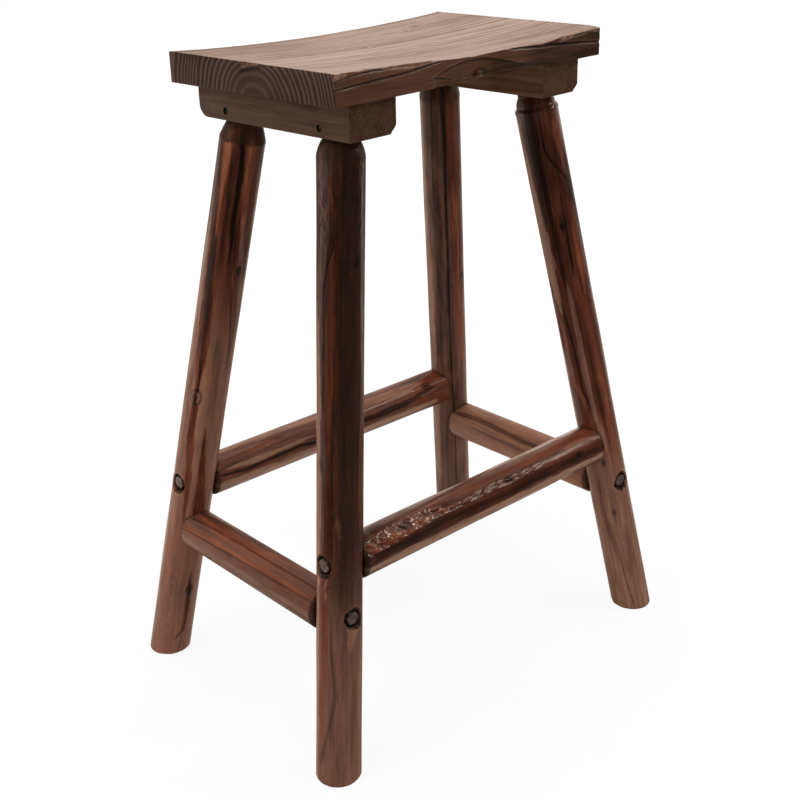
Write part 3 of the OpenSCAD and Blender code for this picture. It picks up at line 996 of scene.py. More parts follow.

# On each leg the base tone falls and the wet rises towards the top: partly the wood's own stain, partly
# painted shade under the seat, lighter lower down where the floor's light reaches
log = leg_logs[BACK_LEFT]
log.shoulder_stain = 0.9
log.base.update(
    tone=[(0, 0.9), (330, 0.9), (420, 0.7), (470, 0.4), (540, 0.05), (600, 0), (660, 0.1), (707, 0.2)],
    wet=[(0, 0.4), (200, 0.4), (300, 0.2), (450, 0.3), (540, 0.8), (620, 1.1), (707, 1.1)],
)
log.strokes = [
    ({"tone": 1.3}, 6, [(695, -38, 5), (684, -38, 6), (665, -37, 5.5), (645, -36, 4), (600, -34, 1.5),
        (570, -34, 0)]),
    # A paler, drier-looking strip down the left edge: a painted reflection of the studio in the varnish
    ({"tone": 0.4, "wet": -0.9}, 2, [(620, -66, 0), (580, -66, 5), (540, -66, 7), (480, -64, 7),
        (430, -62, 5), (380, -60, 0)]),
    ({"tone": -0.45}, 5, [(700, -66, 5), (640, -64, 8), (600, -62, 7), (560, -62, 0)]),
    ({"tone": 0.7}, 4, [(690, 26, 4), (683, 26, 7), (660, 30, 8), (640, 30, 6), (600, 32, 4),
        (560, 34, 0)]),
    ({"tone": -0.3}, 4, [(685, -12, 2), (660, -12, 5), (620, -12, 5), (560, -8, 3), (540, -5, 0)]),
    ({"tone": -1.4}, 4, [(692, 0, 2), (660, 6, 2.6), (640, 6, 2.6), (614, 6, 2.8), (590, 7, 2.6),
        (560, 9, 1), (540, 10, 0)]),
    ({"tone": -0.5}, 1, [(590, 12, 0), (571, 18, 1), (545, 26, 1), (520, 32, 0)]),
    ({"tone": -0.7, "wet": 1.4}, 4, [(600, -44, 0), (563, -38, 4), (498, -32, 7), (461, -29, 6.5),
        (417, -28, 5.5), (385, -28, 2), (375, -28, 0)]),
    ({"tone": -0.4}, 3, [(600, -42, 0), (563, -38, 2), (498, -32, 3), (461, -28, 2.6), (417, -26, 2.6),
        (385, -27, 0)]),
    ({"tone": -1.1}, 0.7, [(430, -32, 0), (420, -28, 0.8), (405, -23, 1), (385, -23, 0.8), (372, -25, 0)]),
    ({"tone": -0.8, "wet": 1.4}, 3, [(372, -28, 0), (361, -27, 4), (321, -26, 4.5), (289, -20, 4),
        (230, -14, 2), (200, -12, 0)]),
    ({"tone": -0.7, "wet": 1.2}, 4, [(340, 12, 0), (300, 14, 2.5), (268, 19, 5), (235, 24, 7), (205, 28, 7),
        (190, 28, 0)]),
    ({"tone": -0.4, "wet": 0.2}, 5, [(480, -60, 0), (440, -58, 4), (340, -56, 5), (280, -56, 4),
        (220, -56, 0)]),
    ({"tone": 0.35, "wet": -0.6}, 4, [(610, 33, 0), (598, 33, 3), (550, 45, 4), (513, 55, 4),
        (480, 60, 0)]),
    ({"tone": -0.8}, 1, [(530, 26, 0), (502, 29, 1.2), (470, 40, 1.2), (444, 46, 1.2), (400, 50, 0)]),
    ({"tone": -0.8, "wet": 0.4}, 3, [(130, 30, 0), (111, 31, 2), (75, 35, 3), (40, 31, 2.5), (22, 2, 0)]),
    ({"tone": -1.1}, 0.5, [(60, 33, 0), (44, 31, 0.6), (25, 30, 0.6), (7, 25, 0.8), (-10, 25, 1)]),
]
log.knots = [(537, 43, 2.6, 0.4), (374, -27, 4.8, 1.1), (102, 34, 3.5, 0.5)]
log.ovals = [(83, -19, 8, 38, 0.4)]

log = leg_logs[FRONT_LEFT]
log.base.update(
    tone=[
        (0, 0.65), (100, 0.6), (180, 0.3), (230, -0.2), (330, -0.45), (560, -0.5), (620, -0.75),
        (707, -0.7),
    ],
    wet=[(0, 0.1), (150, 0.1), (250, 0.5), (707, 0.6)],
)
log.strokes = [
    ({"tone": 0.4}, 2, [(605, -14, 0), (598, -13, 1.5), (582, -20, 3.5), (551, -25, 4.5), (508, -26, 5.5),
        (456, -27, 5), (420, -28, 3), (370, -28, 0)]),
    ({"wet": 1.4, "gloss": -0.7}, 3, [(610, -14, 2), (598, -14, 5), (550, -25, 8), (456, -27, 8),
        (370, -28, 4), (250, -30, 4), (220, -30, 0)]),
    ({"tone": -0.9}, 0.8, [(600, -13, 0), (595, -15, 0.8), (576, -30, 0.9), (550, -40, 1), (508, -41, 1),
        (450, -42, 0.8), (400, -43, 0)]),
    # A paler, drier-looking strip down the left edge: a painted reflection of the studio in the varnish
    ({"tone": 1.1, "wet": -1}, 1.5, [(540, -72, 0), (500, -72, 7), (400, -72, 8), (260, -72, 8),
        (230, -72, 5), (0, -74, 5)]),
    ({"tone": 0.45, "wet": 0.8}, 2, [(692, -23, 0), (684, -23, 2), (640, -22, 2.5), (625, -22, 0)]),
    ({"tone": -0.25}, 8, [(705, 22, 12), (600, 22, 10), (500, 20, 12), (400, 20, 12), (300, 16, 12),
        (230, 15, 9), (180, 15, 4), (150, 15, 0)]),
    ({"tone": 0.6}, 3, [(500, 76, 0), (450, 74, 5), (369, 60, 5), (324, 60, 5), (280, 62, 0)]),
    ({"tone": 0.2, "wet": 0.5}, 3, [(240, -42, 0), (226, -45, 4), (181, -41, 5), (100, -47, 5),
        (20, -50, 0)]),
    ({"tone": -0.6}, 4, [(203, -22, 0), (156, -20, 1.5), (125, -14, 2), (104, -10, 2), (80, -20, 2),
        (58, -30, 2), (29, -47, 2), (15, -52, 0)]),
    ({"tone": 0.2, "wet": 0.4}, 3, [(150, -1, 0), (135, -1, 2.5), (101, 2, 4), (56, -2, 4), (30, -5, 0)]),
    ({"tone": -0.3, "wet": 0.2}, 4, [(130, 41, 0), (101, 41, 4), (61, 36, 4), (20, 36, 0)]),
    ({"tone": -0.15, "wet": -0.4}, 5, [(165, 12, 0), (144, 12, 5), (43, 9, 6), (0, 9, 6)]),
    ({"tone": 0.55, "wet": -0.3}, 5, [(200, 72, 0), (150, 70, 5), (0, 70, 6)]),
]
log.knots = [(576, 42, 1.6, 0.5)]
log.tears = [
    (0.9, [(693, -48, 4), (670, -50, 7), (630, -46, 8), (600, -42, 6), (575, -40, 0)]),
    (0.4, [(700, 20, 18), (650, 15, 22), (610, 15, 20), (585, 20, 12), (560, 25, 0)]),
    (1.2, [(322, -20, 0), (312, -16, 3), (300, -5, 3.5), (288, 1, 3), (280, 3, 0)]),
    (1.3, [(242, -48, 6), (234, -46, 10), (226, -42, 7), (214, -40, 3), (206, -40, 0)]),
    (1.3, [(184, 36, 7), (176, 34, 9), (168, 30, 6), (158, 28, 3), (150, 26, 0)]),
]

log = leg_logs[FRONT_RIGHT]
log.bead = 0.9
log.shoulder_stain = 0.35
log.base.update(
    tone=[(0, 1.05), (150, 1.0), (240, 0.7), (300, 0.25), (400, 0.1), (480, 0), (600, -0.2), (707, -0.2)],
    wet=[(0, 0.1), (200, 0.25), (280, 0.7), (400, 1), (707, 1.1)],
    gloss=[(0, 1), (640, 1), (665, 2.2), (707, 2.2)],
)
log.strokes = [
    ({"tone": 0.8}, 2.5, [(692, 48, 3), (676, 50, 4), (658, 42, 6), (638, 46, 5), (616, 48, 2),
        (605, 50, 0)]),
    ({"tone": -0.9}, 0.8, [(690, 2, 0.8), (669, 2, 1), (640, 2, 1.2), (627, 11, 1.2), (609, 35, 1.2),
        (591, 59, 1.2), (580, 70, 0)]),
    ({"tone": -1.0, "gloss": -0.6}, 4, [(640, 56, 0), (600, 63, 4), (577, 65, 6), (540, 67, 3),
        (500, 68, 0)]),
    # A paler, drier-looking strip down the left edge: a painted reflection of the studio in the varnish
    ({"tone": 1.0, "wet": -1.4}, 2, [(692, -74, 3), (640, -70, 5), (600, -66, 7), (540, -58, 9),
        (480, -50, 8), (450, -44, 5), (430, -42, 0)]),
    ({"tone": -0.6, "gloss": -0.6}, 4, [(695, -30, 8), (642, -30, 8), (581, -26, 7), (500, -18, 4),
        (450, -8, 0)]),
    ({"tone": 0.5}, 2, [(580, 52, 0), (565, 50, 3), (530, 44, 5), (504, 45, 5), (486, 43, 4),
        (449, 38, 0)]),
    ({"tone": -0.7}, 1.5, [(590, 20, 0), (571, 19, 1.5), (540, 19, 2), (502, 15, 2), (475, 14, 0)]),
    ({"tone": -1.0}, 1.2, [(460, -38, 0), (446, -36, 1), (414, -27, 1.5), (380, -24, 1.8), (332, -22, 1.5),
        (306, -10, 1), (295, -8, 0)]),
    ({"tone": 0.45, "wet": -0.8}, 2.5, [(480, -8, 0), (461, -7, 2.5), (415, -5, 3.5), (365, -6, 4),
        (330, -4, 3.5), (291, 1, 3), (257, 12, 2), (240, 14, 0)]),
    ({"tone": 0.35, "wet": 0.3}, 3, [(470, 26, 0), (449, 26, 3), (415, 30, 4), (358, 40, 4), (316, 41, 4),
        (266, 45, 3), (240, 45, 0)]),
    ({"tone": -0.6}, 2, [(400, 16, 0), (378, 18, 2), (333, 18, 2.5), (288, 22, 2.5), (255, 28, 1.5),
        (235, 28, 0)]),
    ({"tone": 0.5, "wet": -0.3}, 3, [(430, -50, 0), (420, -50, 3), (379, -50, 4), (344, -46, 4),
        (317, -28, 3), (300, -24, 0)]),
    ({"tone": -0.6}, 2.5, [(210, -28, 0), (197, -28, 2), (150, -32, 3), (117, -22, 3), (94, -16, 2),
        (70, -12, 0)]),
    ({"tone": -0.3, "wet": 0.3}, 4, [(130, 28, 0), (108, 28, 4), (80, 29, 5), (63, 14, 4), (40, 14, 0)]),
    ({"tone": -1.1}, 0.5, [(130, -10, 0), (109, -9, 0.5), (61, -4, 0.6), (4, 8, 0.8), (-10, 8, 0.8)]),
]
log.knots = [(225, -2, 2.2, 0.4), (151, 2, 1.8, 0.3), (545, 8, 2.0, 0.5)]
log.tears = [(0.6, [(560, -4, 0), (545, 0, 3), (530, 2, 3), (515, 4, 0)])]

log = leg_logs[BACK_RIGHT]
log.base.update(
    tone=[(0, 0.1), (250, 0.1), (450, 0), (560, -0.2), (707, -0.35)],
    wet=[(0, 0), (450, 0), (560, 0.15), (707, 0.2)],
)
log.strokes = [
    ({"tone": -1.0}, 1, [(703, 10, 1.2), (679, 10, 1.4), (606, 9, 1.5), (521, 8, 1.5), (415, 8, 1.4),
        (343, 8, 1.4), (280, 9, 1.4), (210, 12, 1.3), (122, 14, 1.2), (60, 10, 0)]),
    ({"tone": -0.7}, 0.6, [(700, 4, 0.6), (679, 3, 0.7), (620, 6, 0.6), (600, 8, 0)]),
    ({"tone": -0.5}, 5, [(580, -18, 0), (540, -22, 6), (415, -25, 7), (341, -30, 6), (309, -28, 5),
        (280, -20, 0)]),
    ({"tone": -0.6}, 1, [(695, -26, 1), (673, -26, 1), (619, -28, 1.2), (570, -29, 1), (540, -30, 0)]),
    ({"tone": 0.4, "wet": 1.2}, 4, [(700, 40, 8), (677, 40, 11), (616, 42, 11), (545, 44, 10), (455, 46, 8),
        (340, 48, 5), (260, 50, 0)]),
    ({"tone": 0.4, "wet": 0.3}, 5, [(580, 30, 0), (540, 34, 5), (400, 40, 8), (330, 50, 7), (270, 60, 0)]),
    # A paler strip down the left edge: partly dry wood, partly a painted reflection of the studio in the
    # varnish
    ({"tone": 0.9}, 3, [(707, -72, 6), (560, -68, 7), (363, -54, 5), (303, -50, 4), (97, -51, 5),
        (60, -50, 0)]),
]
log.knots = [(430, 62, 2.5, 0.4), (250, -150, 3, 0.6)]

rung_logs = {
    "rung_front": ((FRONT_LEFT, FRONT_RIGHT), MAIN_RUNG_Z),
    "rung_back": ((BACK_LEFT, BACK_RIGHT), MAIN_RUNG_Z),
    "rung_left": ((BACK_LEFT, FRONT_LEFT), SIDE_RUNG_Z),
    "rung_right": ((BACK_RIGHT, FRONT_RIGHT), SIDE_RUNG_Z),
}
for seed, (node, (corners, z)) in enumerate(list(rung_logs.items()), start=11):
    made = Log(node, leg_point(corners[0], z), leg_point(corners[1], z), RUNG_R, 100 * seed, RUNG_FLATS)
    rung_logs[node] = (made, corners, z)

log = rung_logs["rung_front"][0]
log.base.update(
    tone=[(0, -0.15), (450, -0.15)],
    wet=[(0, 0.7), (450, 0.8)],
    gloss=[(0, 1.2), (130, 1), (180, 0.7), (450, 0.6)],
)
log.strokes = [
    # A pale strip along the underside: a painted reflection of the white floor in the varnish
    ({"tone": 1.8, "wet": -1.2, "gloss": 0.6}, 4, [(15, 58, 3), (60, 58, 6), (350, 58, 7), (430, 56, 5)]),
    # A pale strip along the top: a painted reflection of the backdrop in the varnish
    ({"tone": 1.1, "wet": -0.6, "gloss": 0.5}, 3, [(30, -74, 3), (177, -74, 5), (361, -74, 5),
        (430, -72, 4)]),
    ({"tone": 0.7}, 6, [(60, -48, 2), (110, -46, 7), (200, -40, 9), (300, -38, 9), (425, -36, 8)]),
    ({"tone": 0.35}, 4, [(280, -2, 0), (291, -2, 3), (346, -3, 4), (404, -4, 4), (425, -5, 0)]),
    ({"tone": 0.6, "gloss": 0.6}, 2, [(340, -14, 0), (359, -15, 2.5), (389, -17, 3), (412, -12, 2.5),
        (424, -10, 0)]),
    ({"tone": -0.35}, 4, [(30, 28, 4), (134, 26, 5), (232, 26, 5), (340, 26, 5), (425, 28, 4)]),
    ({"tone": 0.15, "gloss": 1.2}, 5, [(12, 0, 5), (28, -2, 8), (60, -9, 10), (109, -12, 8),
        (150, -10, 2)]),
]
log.knots = [(252, -9, 2.0, 0.8), (376, 14, 1.8, 0.4)]
log.tears = [
    (1.9, [(10, 2, 4), (28, 0, 8), (44, -3, 9), (65, -11, 11), (85, -13, 11), (109, -13, 9), (126, -17, 7),
        (138, -14, 5), (170, -12, 0)]),
    (0.7, [(130, -6, 0), (150, -6, 3), (176, -6, 3.2), (210, -8, 3.2), (249, -5, 3.4), (263, -5, 3),
        (314, -6, 2), (325, -6, 0)]),
]

log = rung_logs["rung_back"][0]
log.base.update(tone=[(0, 0.5), (200, 0.5), (450, 0.3)], wet=[(0, 0.6), (200, 0.5), (360, 0.5), (420, 1)])
log.strokes = [
    ({"tone": -1.2}, 1.5, [(20, 14, 0), (30, 17, 1.6), (63, 26, 2.2), (106, 22, 2), (150, 18, 1.8),
        (190, 30, 1.2), (205, 32, 0)]),
    ({"tone": 1.3, "wet": -0.5}, 2, [(30, 4, 0), (60, 6, 3), (80, 8, 3.5), (106, 8, 3), (150, 4, 2.5),
        (190, 4, 0)]),
    ({"tone": 1.1, "wet": -0.6}, 4, [(20, 48, 5), (200, 54, 5), (400, 52, 4)]),
    ({"tone": -0.6}, 2.5, [(25, -4, 0), (45, -4, 2.5), (80, -10, 1.5), (110, -10, 0)]),
    ({"tone": 0.8, "wet": -0.3}, 4, [(30, -62, 3), (120, -58, 4), (200, -50, 5), (300, -30, 7),
        (350, -28, 6), (385, -30, 0)]),
    ({"tone": -1.1}, 2.5, [(215, 20, 0), (240, 20, 3), (298, 20, 3.5), (342, 16, 4), (370, 8, 3),
        (389, 2, 2), (405, 0, 0)]),
    ({"tone": -0.9}, 2.5, [(340, -52, 0), (364, -50, 3), (398, -57, 3), (412, -58, 0)]),
    ({"gloss": 0.8}, 1, [(25, -18, 0), (34, -18, 2), (79, -14, 2.5), (150, -28, 2.5), (186, -22, 2),
        (200, -20, 0)]),
]
log.knots = [(382, -12, 3.2, 0.9)]
log.tears = [
    (0.7, [(25, -22, 0), (34, -22, 3), (79, -18, 3), (106, -20, 3), (150, -28, 2.5), (186, -22, 2),
        (200, -20, 0)]),
    (0.5, [(295, -6, 0), (309, -8, 3), (347, -12, 3), (365, -16, 0)]),
]

log = rung_logs["rung_left"][0]
log.base.update(tone=[(0, 0.4), (300, 0.3)], wet=[(0, 0.5), (300, 0.5)])
log.strokes = [
    ({"tone": 0.35, "wet": 0.2}, 3, [(15, 17, 1), (20, 17, 2), (121, 9, 3), (250, 2, 3), (275, 0, 0)]),
    ({"tone": 0.4, "wet": 0.5}, 4, [(30, -28, 0), (46, -30, 4), (111, -38, 5), (161, -44, 5),
        (240, -50, 0)]),
    ({"tone": 0.15, "wet": -0.6}, 5, [(15, 56, 6), (150, 52, 7), (280, 48, 6)]),
    ({"tone": -0.8}, 0.8, [(10, 23, 0.6), (18, 23, 0.8), (84, 19, 1), (139, 14, 0.9), (265, 8, 0.8),
        (280, 6, 0)]),
    ({"tone": -0.8}, 1.2, [(25, -14, 0), (35, -16, 1.2), (77, -22, 1.2), (127, -24, 1.2), (255, -27, 1),
        (275, -27, 0)]),
    ({"tone": -0.45}, 3, [(20, -44, 0), (36, -46, 3), (96, -58, 4), (194, -71, 3), (230, -75, 0)]),
]

log = rung_logs["rung_right"][0]
log.base.update(
    tone=[(0, 1.1), (60, 1.1), (100, 1.05), (300, 1)],
    wet=[(0, 0.3), (60, 0.3), (120, 0.4), (300, 0.4)],
)
log.strokes = [
    ({"tone": -1.1}, 2, [(25, -12, 0), (42, -16, 3.5), (96, -18, 4), (156, -8, 3.5), (228, -10, 2.5),
        (260, -12, 0)]),
    ({"tone": -0.8}, 1.5, [(60, 14, 0), (90, 16, 2), (150, 20, 2), (220, 22, 2), (250, 22, 0)]),
    ({"tone": 0.3}, 3, [(30, -70, 2), (260, -70, 3)]),
]

# Weight and roughness of each log's varnish film, roughness of its wood, and strength of its streaks
LOG_LOOKS = {
    "front_left": (0.55, 0.18, 0.42, 0.6), "front_right": (0.55, 0.18, 0.42, 1.0),
    "back_left": (0.45, 0.20, 0.42, 1.0), "back_right": (0.40, 0.22, 0.45, 1.0),
    "rung_front": (0.90, 0.11, 0.32, 0.9), "rung_back": (0.50, 0.18, 0.40, 1.0),
    "rung_left": (0.40, 0.20, 0.44, 0.9), "rung_right": (0.35, 0.22, 0.44, 1.0),
}
# Each leg's shoulder, from 0 for round to 1 for straight
CONES = {BACK_LEFT: 0.85, FRONT_LEFT: 0.15, FRONT_RIGHT: 0.4, BACK_RIGHT: 0.0}

for corner, log in leg_logs.items():
    material = log_material("log_wood_leg_" + log.name, log.seed / 100, *LOG_LOOKS[log.name])
    build_leg(log, corner, material, CONES[corner])

for node, (log, corners, z) in rung_logs.items():
    build_rung(log, corners, z, log_material("log_wood_" + node, log.seed / 100, *LOG_LOOKS[node]), node)


# Seat plank and cleats

def edge_lines(low, high, step, radius):
    """Grid lines from low to high, closer together at the two rounded ends."""
    near = radius * np.array([0, 0.25, 0.55])
    inner = np.linspace(low + radius, high - radius, int((high - low - 2 * radius) / step) + 1)
    return np.concatenate([low + near, inner, high - near[::-1]])


def block(lines, radius):
    """Points and quads of a box surface on grid lines, with its edges rounded."""
    counts = [len(line) for line in lines]
    grid = stacked(*np.meshgrid(*lines, indexing="ij"))
    inside = np.zeros(counts, bool)
    inside[1:-1, 1:-1, 1:-1] = True
    number = np.full(counts, -1)
    number[~inside] = np.arange((~inside).sum())
    points = grid[~inside]
    low = np.array([line[0] for line in lines])
    high = np.array([line[-1] for line in lines])
    core = np.clip(points, low + radius, high - radius)
    out = points - core
    length = np.linalg.norm(out, axis=1, keepdims=True)
    points = core + out * radius / np.maximum(length, 1e-12)
    quads = []
    for axis in range(3):
        for side in (0, -1):
            sheet = np.take(number, side, axis=axis)
            a, b, c, d = sheet[:-1, :-1], sheet[1:, :-1], sheet[1:, 1:], sheet[:-1, 1:]
            face = stacked(a, b, c, d).reshape(-1, 4)
            if (side == 0) != (axis == 1):
                face = face[:, ::-1]
            quads.append(face)
    return points, np.concatenate(quads).tolist()


# The upper edge of the wane on the plank's front face, at (x mm, z mm)
ARCH = [
    (-76, 738), (-66, 742.5), (-50, 747.2), (-33, 750), (-15, 751.5), (0, 751), (14, 749.8), (31, 746.5),
    (50, 742), (65, 738.5), (93, 734.9), (116, 733), (155, 730.3), (186, 729),
]
# How far the lit front arris stands above the dished surface, at (x mm, mm)
FRONT_LIP = [
    (-213.5, 0), (-200, 1.0), (-178, 2.1), (-127, 2.2), (-97, 2.4), (-64, 1.3), (-12, 0), (42, 0.9),
    (80, -1), (101, -2.6), (120, -1.8), (145, -0.5), (187, -1.0), (213.5, -1.2),
]
# Split lines on that face: depth in mm, and (x mm, z mm, half width mm) places
SPLITS = [
    (2.4, [(-214, 746.8, 0.9), (-200, 746.8, 0.9), (-181, 747.9, 1.0), (-157, 748.9, 1.1),
        (-130, 749.6, 1.3), (-114, 750.4, 1.3), (-98, 751.9, 1.2), (-87, 753, 1.0), (-65, 755, 0.6),
        (-55, 756, 0)]),
    (2.0, [(-214, 754.3, 0.5), (-198, 756.4, 0.6), (-175, 757.9, 0.9), (-160, 758.4, 1.0),
        (-148, 757.2, 0.7), (-138, 757, 0)]),
    (2.8, [(44, 755, 0), (52, 754.4, 0.8), (77, 753, 1.4), (97, 751.4, 1.5), (127, 750.3, 1.4),
        (158, 748.6, 1.2), (180, 746.9, 1.1), (214, 744.3, 1.1)]),
    (1.4, [(160, 754.5, 0), (168, 755.9, 0.7), (180, 757, 0.9), (192, 757.9, 0.4), (200, 756, 0.2),
        (207, 755, 0.6), (214, 754.8, 0.7)]),
    (0.8, [(-76, 740, 0), (-70, 739.4, 1.2), (-54, 736.6, 1.0), (-44, 735, 0.6), (-36, 733, 0)]),
    (1.2, [(x, z, 0.8) for x, z in ARCH[:7]] + [(50, 742, 0.7), (65, 738.5, 0.4), (80, 736.6, 0)]),
]
# The lower edges of the worn, rolled rims, at (x mm, z mm)
LEFT_RIM = [
    (-190, 762), (-186, 760.9), (-170, 760), (-150, 757.6), (-125, 755.8), (-109, 754.8), (-87, 755.5),
    (-60, 757),
]
RIGHT_RIM = [
    (60, 755), (77, 754.2), (97, 752.4), (121, 751.4), (150, 752.6), (166, 755.4), (192, 758.2),
    (213.5, 755.4),
]
# The lower edge of the chip at the top of the left end, at (-y mm, z mm)
CHIP = [(-10, 755.5), (-6.8, 755.8), (2.6, 757.9), (10, 759.8), (17.6, 761.6), (22, 762)]
# The growth rings round the pith, which lies just under the plank
PITH_Y, PITH_Z = -10.5 * MM, 718.5 * MM
RING_RADII = MM * np.array([
    0, 10, 22.5, 34.5, 42, 48, 54, 61.5, 67.5, 75.5, 81, 88, 96, 101, 105.5, 110, 115, 120, 126, 133,
])
# The small knots on the top, as (x mm, y mm, half width mm)
TOP_KNOTS = [(118, 78, 5), (84, 60, 3.2), (-38, 8, 2.4)]


def build_seat():
    """The plank with its dish, waney front edge, grooves, hollow and chipped end."""
    radius = 1.0 * MM
    half_l, half_w = SEAT_L / 2, SEAT_W / 2
    # How far in the mesh is finer and the front edge's shape reaches
    zone = 26 * MM
    fine = edge_lines(-half_w, -half_w + 2 * zone, 1.15 * MM, radius)
    fine = fine[fine < -half_w + zone]
    coarse = edge_lines(-half_w, half_w, 2.3 * MM, radius)
    coarse = coarse[coarse > fine[-1] + 0.6 * MM]
    lines = [
        edge_lines(-half_l, half_l, 2.0 * MM, radius),
        np.concatenate([fine, coarse]),
        edge_lines(SEAT_Z, SEAT_H, 0.75 * MM, radius),
    ]
    points, quads = block(lines, radius)
    x, y, z = points.T.copy()
    raw = points.copy()
    along = stacked(x, 0 * x, 0 * x)
    dish_r = (half_l**2 + DISH_DEPTH**2) / (2 * DISH_DEPTH)
    dish = DISH_DEPTH - (dish_r - np.sqrt(dish_r**2 - x**2))
    height = (z - SEAT_Z) / SEAT_T
    z = z - dish * height
    # The top surface near the front edge rises and falls with the waney edge
    from_front = y + half_w
    lip = line_at(x, FRONT_LIP) + 0.35 * MM * value_noise(along * 90, 5)
    raised = np.minimum(lip, dish * 0.95) * bell(from_front, np.where(lip > 0, 13 * MM, 7 * MM))
    z = z + raised * height**4
    z = z - 0.2 * MM * height**6 * (1 + value_noise(stacked(x * 25, y * 60, 0 * x), 6)) * (dish > 0.3 * MM)
    # The front face: a slight waviness, the splits, and the wane under its arch, with painted shade in the
    # splits and just under the arch
    front = ease(1 - from_front / zone)
    on_front = ease(1 - from_front / (2.5 * MM))
    inner = ease((half_l - np.abs(x)) / (18 * MM))
    wave = 0.4 * MM * (1 + value_noise(stacked(x * 22, 0 * x, z * 60), 11)) * inner
    wave = wave + 0.25 * MM * (1 + value_noise(stacked(x * 40, 0 * x, z * 420), 12)) * inner
    arch = line_at(x, ARCH)
    under = arch - z
    across = ease((x + 78 * MM) / (12 * MM)) * ease((190 * MM - x) / (50 * MM))
    wane = across * (1.5 * MM * ease(under / (1.2 * MM)) + np.clip(under, 0, 1) * np.tan(np.radians(8)))
    wane = wane + 3.5 * MM * bell(x - 102 * MM, 22 * MM) * ease((733.5 * MM - z) / (3 * MM))
    push = wave + wane
    tone = np.zeros(len(x))
    stain_and_shade = np.zeros(len(x))
    for depth, places in SPLITS:
        at, level, width = np.array(places, float).T
        middle = np.interp(x, at * MM, level * MM) + 0.25 * MM * value_noise(along * 150, 21)
        width = np.interp(x, at * MM, width * MM, left=0, right=0)
        shape = bell(z - middle, np.maximum(width, 1e-6)) * (width > 0)
        push = push + depth * MM * shape * np.minimum(width / (0.9 * MM), 1) * (0.35 + 0.65 * inner)
        stain_and_shade = np.maximum(stain_and_shade, np.clip(shape * 1.35, 0, 1) * on_front * 0.78)
        # A thin lighter line above each split: a painted highlight on its upper lip
        tone = tone + 0.35 * bell(z - middle - 2.2 * width, 0.8 * MM) * on_front * (width > 0)
    y = y + push * front
    # A painted shadow line just under the arch
    shade = bell(under - 0.9 * MM, 1.1 * MM) * on_front * across
    stain_and_shade = np.maximum(stain_and_shade, 0.8 * shade)
    below = ease(under / (2.5 * MM)) * on_front * across
    paler, darker = ease((-40 * MM - x) / (80 * MM)), ease((x - 60 * MM) / (50 * MM))
    tone = tone + on_front * (0.16 * paler - 0.35 * darker)
    tone = tone + below * (-0.04 - 0.40 * ease((x + 5 * MM) / (40 * MM)) * ease((110 * MM - x) / (50 * MM)))
    # The knot at the lower edge of the wane, with its dark ring, a painted glint under it and a row of
    # painted glints to its left in the pale colour of worn wood
    knot = np.hypot((x - 2 * MM) / (9 * MM), (z - 736 * MM) / (4.2 * MM))
    y = y - 1.5 * MM * bell(knot, 0.75) * on_front
    tone = tone - 0.7 * bell(knot - 0.9, 0.3) * on_front
    glint = np.exp(-(((x - 2 * MM) / (6.5 * MM)) ** 4 + ((z - 732.2 * MM) / (0.8 * MM)) ** 2))
    long_glint = np.exp(-(((x + 28 * MM) / (19 * MM)) ** 4 + ((z - 733 * MM) / (0.7 * MM)) ** 2))
    glint = glint + 0.8 * long_glint * ease(0.4 + value_noise(along * 320, 23) * 1.4)
    wear_and_glint = glint * on_front
    y = y - 0.8 * MM * glint * on_front
    # The rolled, worn rims above the front face, the right one up to the plank's end
    for places, to_end, inward, strength in ((LEFT_RIM, 0, 9 * MM, 0.8), (RIGHT_RIM, 1, 5 * MM, 1.0)):
        first, last = places[0][0] * MM, places[-1][0] * MM
        shown = ease((x - first) / (10 * MM)) * ease((last - x) / (10 * MM) + to_end)
        part = ease((z - line_at(x, places)) / (1.2 * MM) + 0.3) * ease(1.3 - from_front / inward) * shown
        wear_and_glint = np.maximum(wear_and_glint, strength * part * ease(0.75 + 0.7 * value_noise(along * 60, 41)))
        y = y + 0.9 * MM * part * on_front * inner
    corner_chip = ease((-196 * MM - x) / (5 * MM)) * ease((z - 755 * MM) / (1.5 * MM)) * on_front
    wear_and_glint = np.maximum(wear_and_glint, 0.9 * corner_chip)
    # The other long edge is only slightly uneven
    back = ease(1 - (half_w - raw[:, 1]) / (25 * MM))
    y = y - back * 0.35 * MM * (1 + value_noise(stacked(x * 30, 0 * x, z * 150), 31)) * inner
    # Rings, and the ridges where the hard ones stand proud of the sawn ends
    ring_r = np.hypot(raw[:, 1] - PITH_Y, raw[:, 2] - PITH_Z)
    ring_r = ring_r + 1.0 * MM * value_noise(stacked(x * 5, y * 25, z * 25), 51) * inner
    ring_r = ring_r + 0.5 * MM * value_noise(stacked(x * 20, y * 60, z * 60), 52)
    ring = np.interp(ring_r, RING_RADII, np.arange(len(RING_RADII)))
    end = np.maximum(0, np.abs(raw[:, 0]) - half_l + radius) / radius
    ridge = bell((ring + 0.5) % 1 - 0.5, 0.16)
    saw = 0.12 * MM * (1 + value_noise(stacked(0 * x, y * 330, z * 90), 61))
    x = x - np.sign(raw[:, 0]) * end * (saw + 0.35 * MM * (1 - ridge))
    z = z - 0.8 * MM * end * (1 - ridge) * ease((height - 0.8) / 0.2)
    z = z + 0.8 * MM * end * (1 - ridge) * ease((0.2 - height) / 0.2)
    # The chip at the top of the left end
    chip_low = line_at(-raw[:, 1], CHIP)
    chip = ease((z - chip_low) / (0.8 * MM) + 0.5) * ease((10 * MM - raw[:, 1]) / (3 * MM))
    chip = chip * ease((raw[:, 1] + 21 * MM) / (4 * MM)) * (raw[:, 0] < 0)
    x = x + 1.6 * MM * chip * end
    wear_and_glint = np.maximum(wear_and_glint, 0.55 * chip * ease((end - 0.3) / 0.4))
    tone = tone - 0.35 * bell(z - chip_low + 3 * MM, 2 * MM) * end * (np.abs(raw[:, 1] + 5 * MM) < 15 * MM)
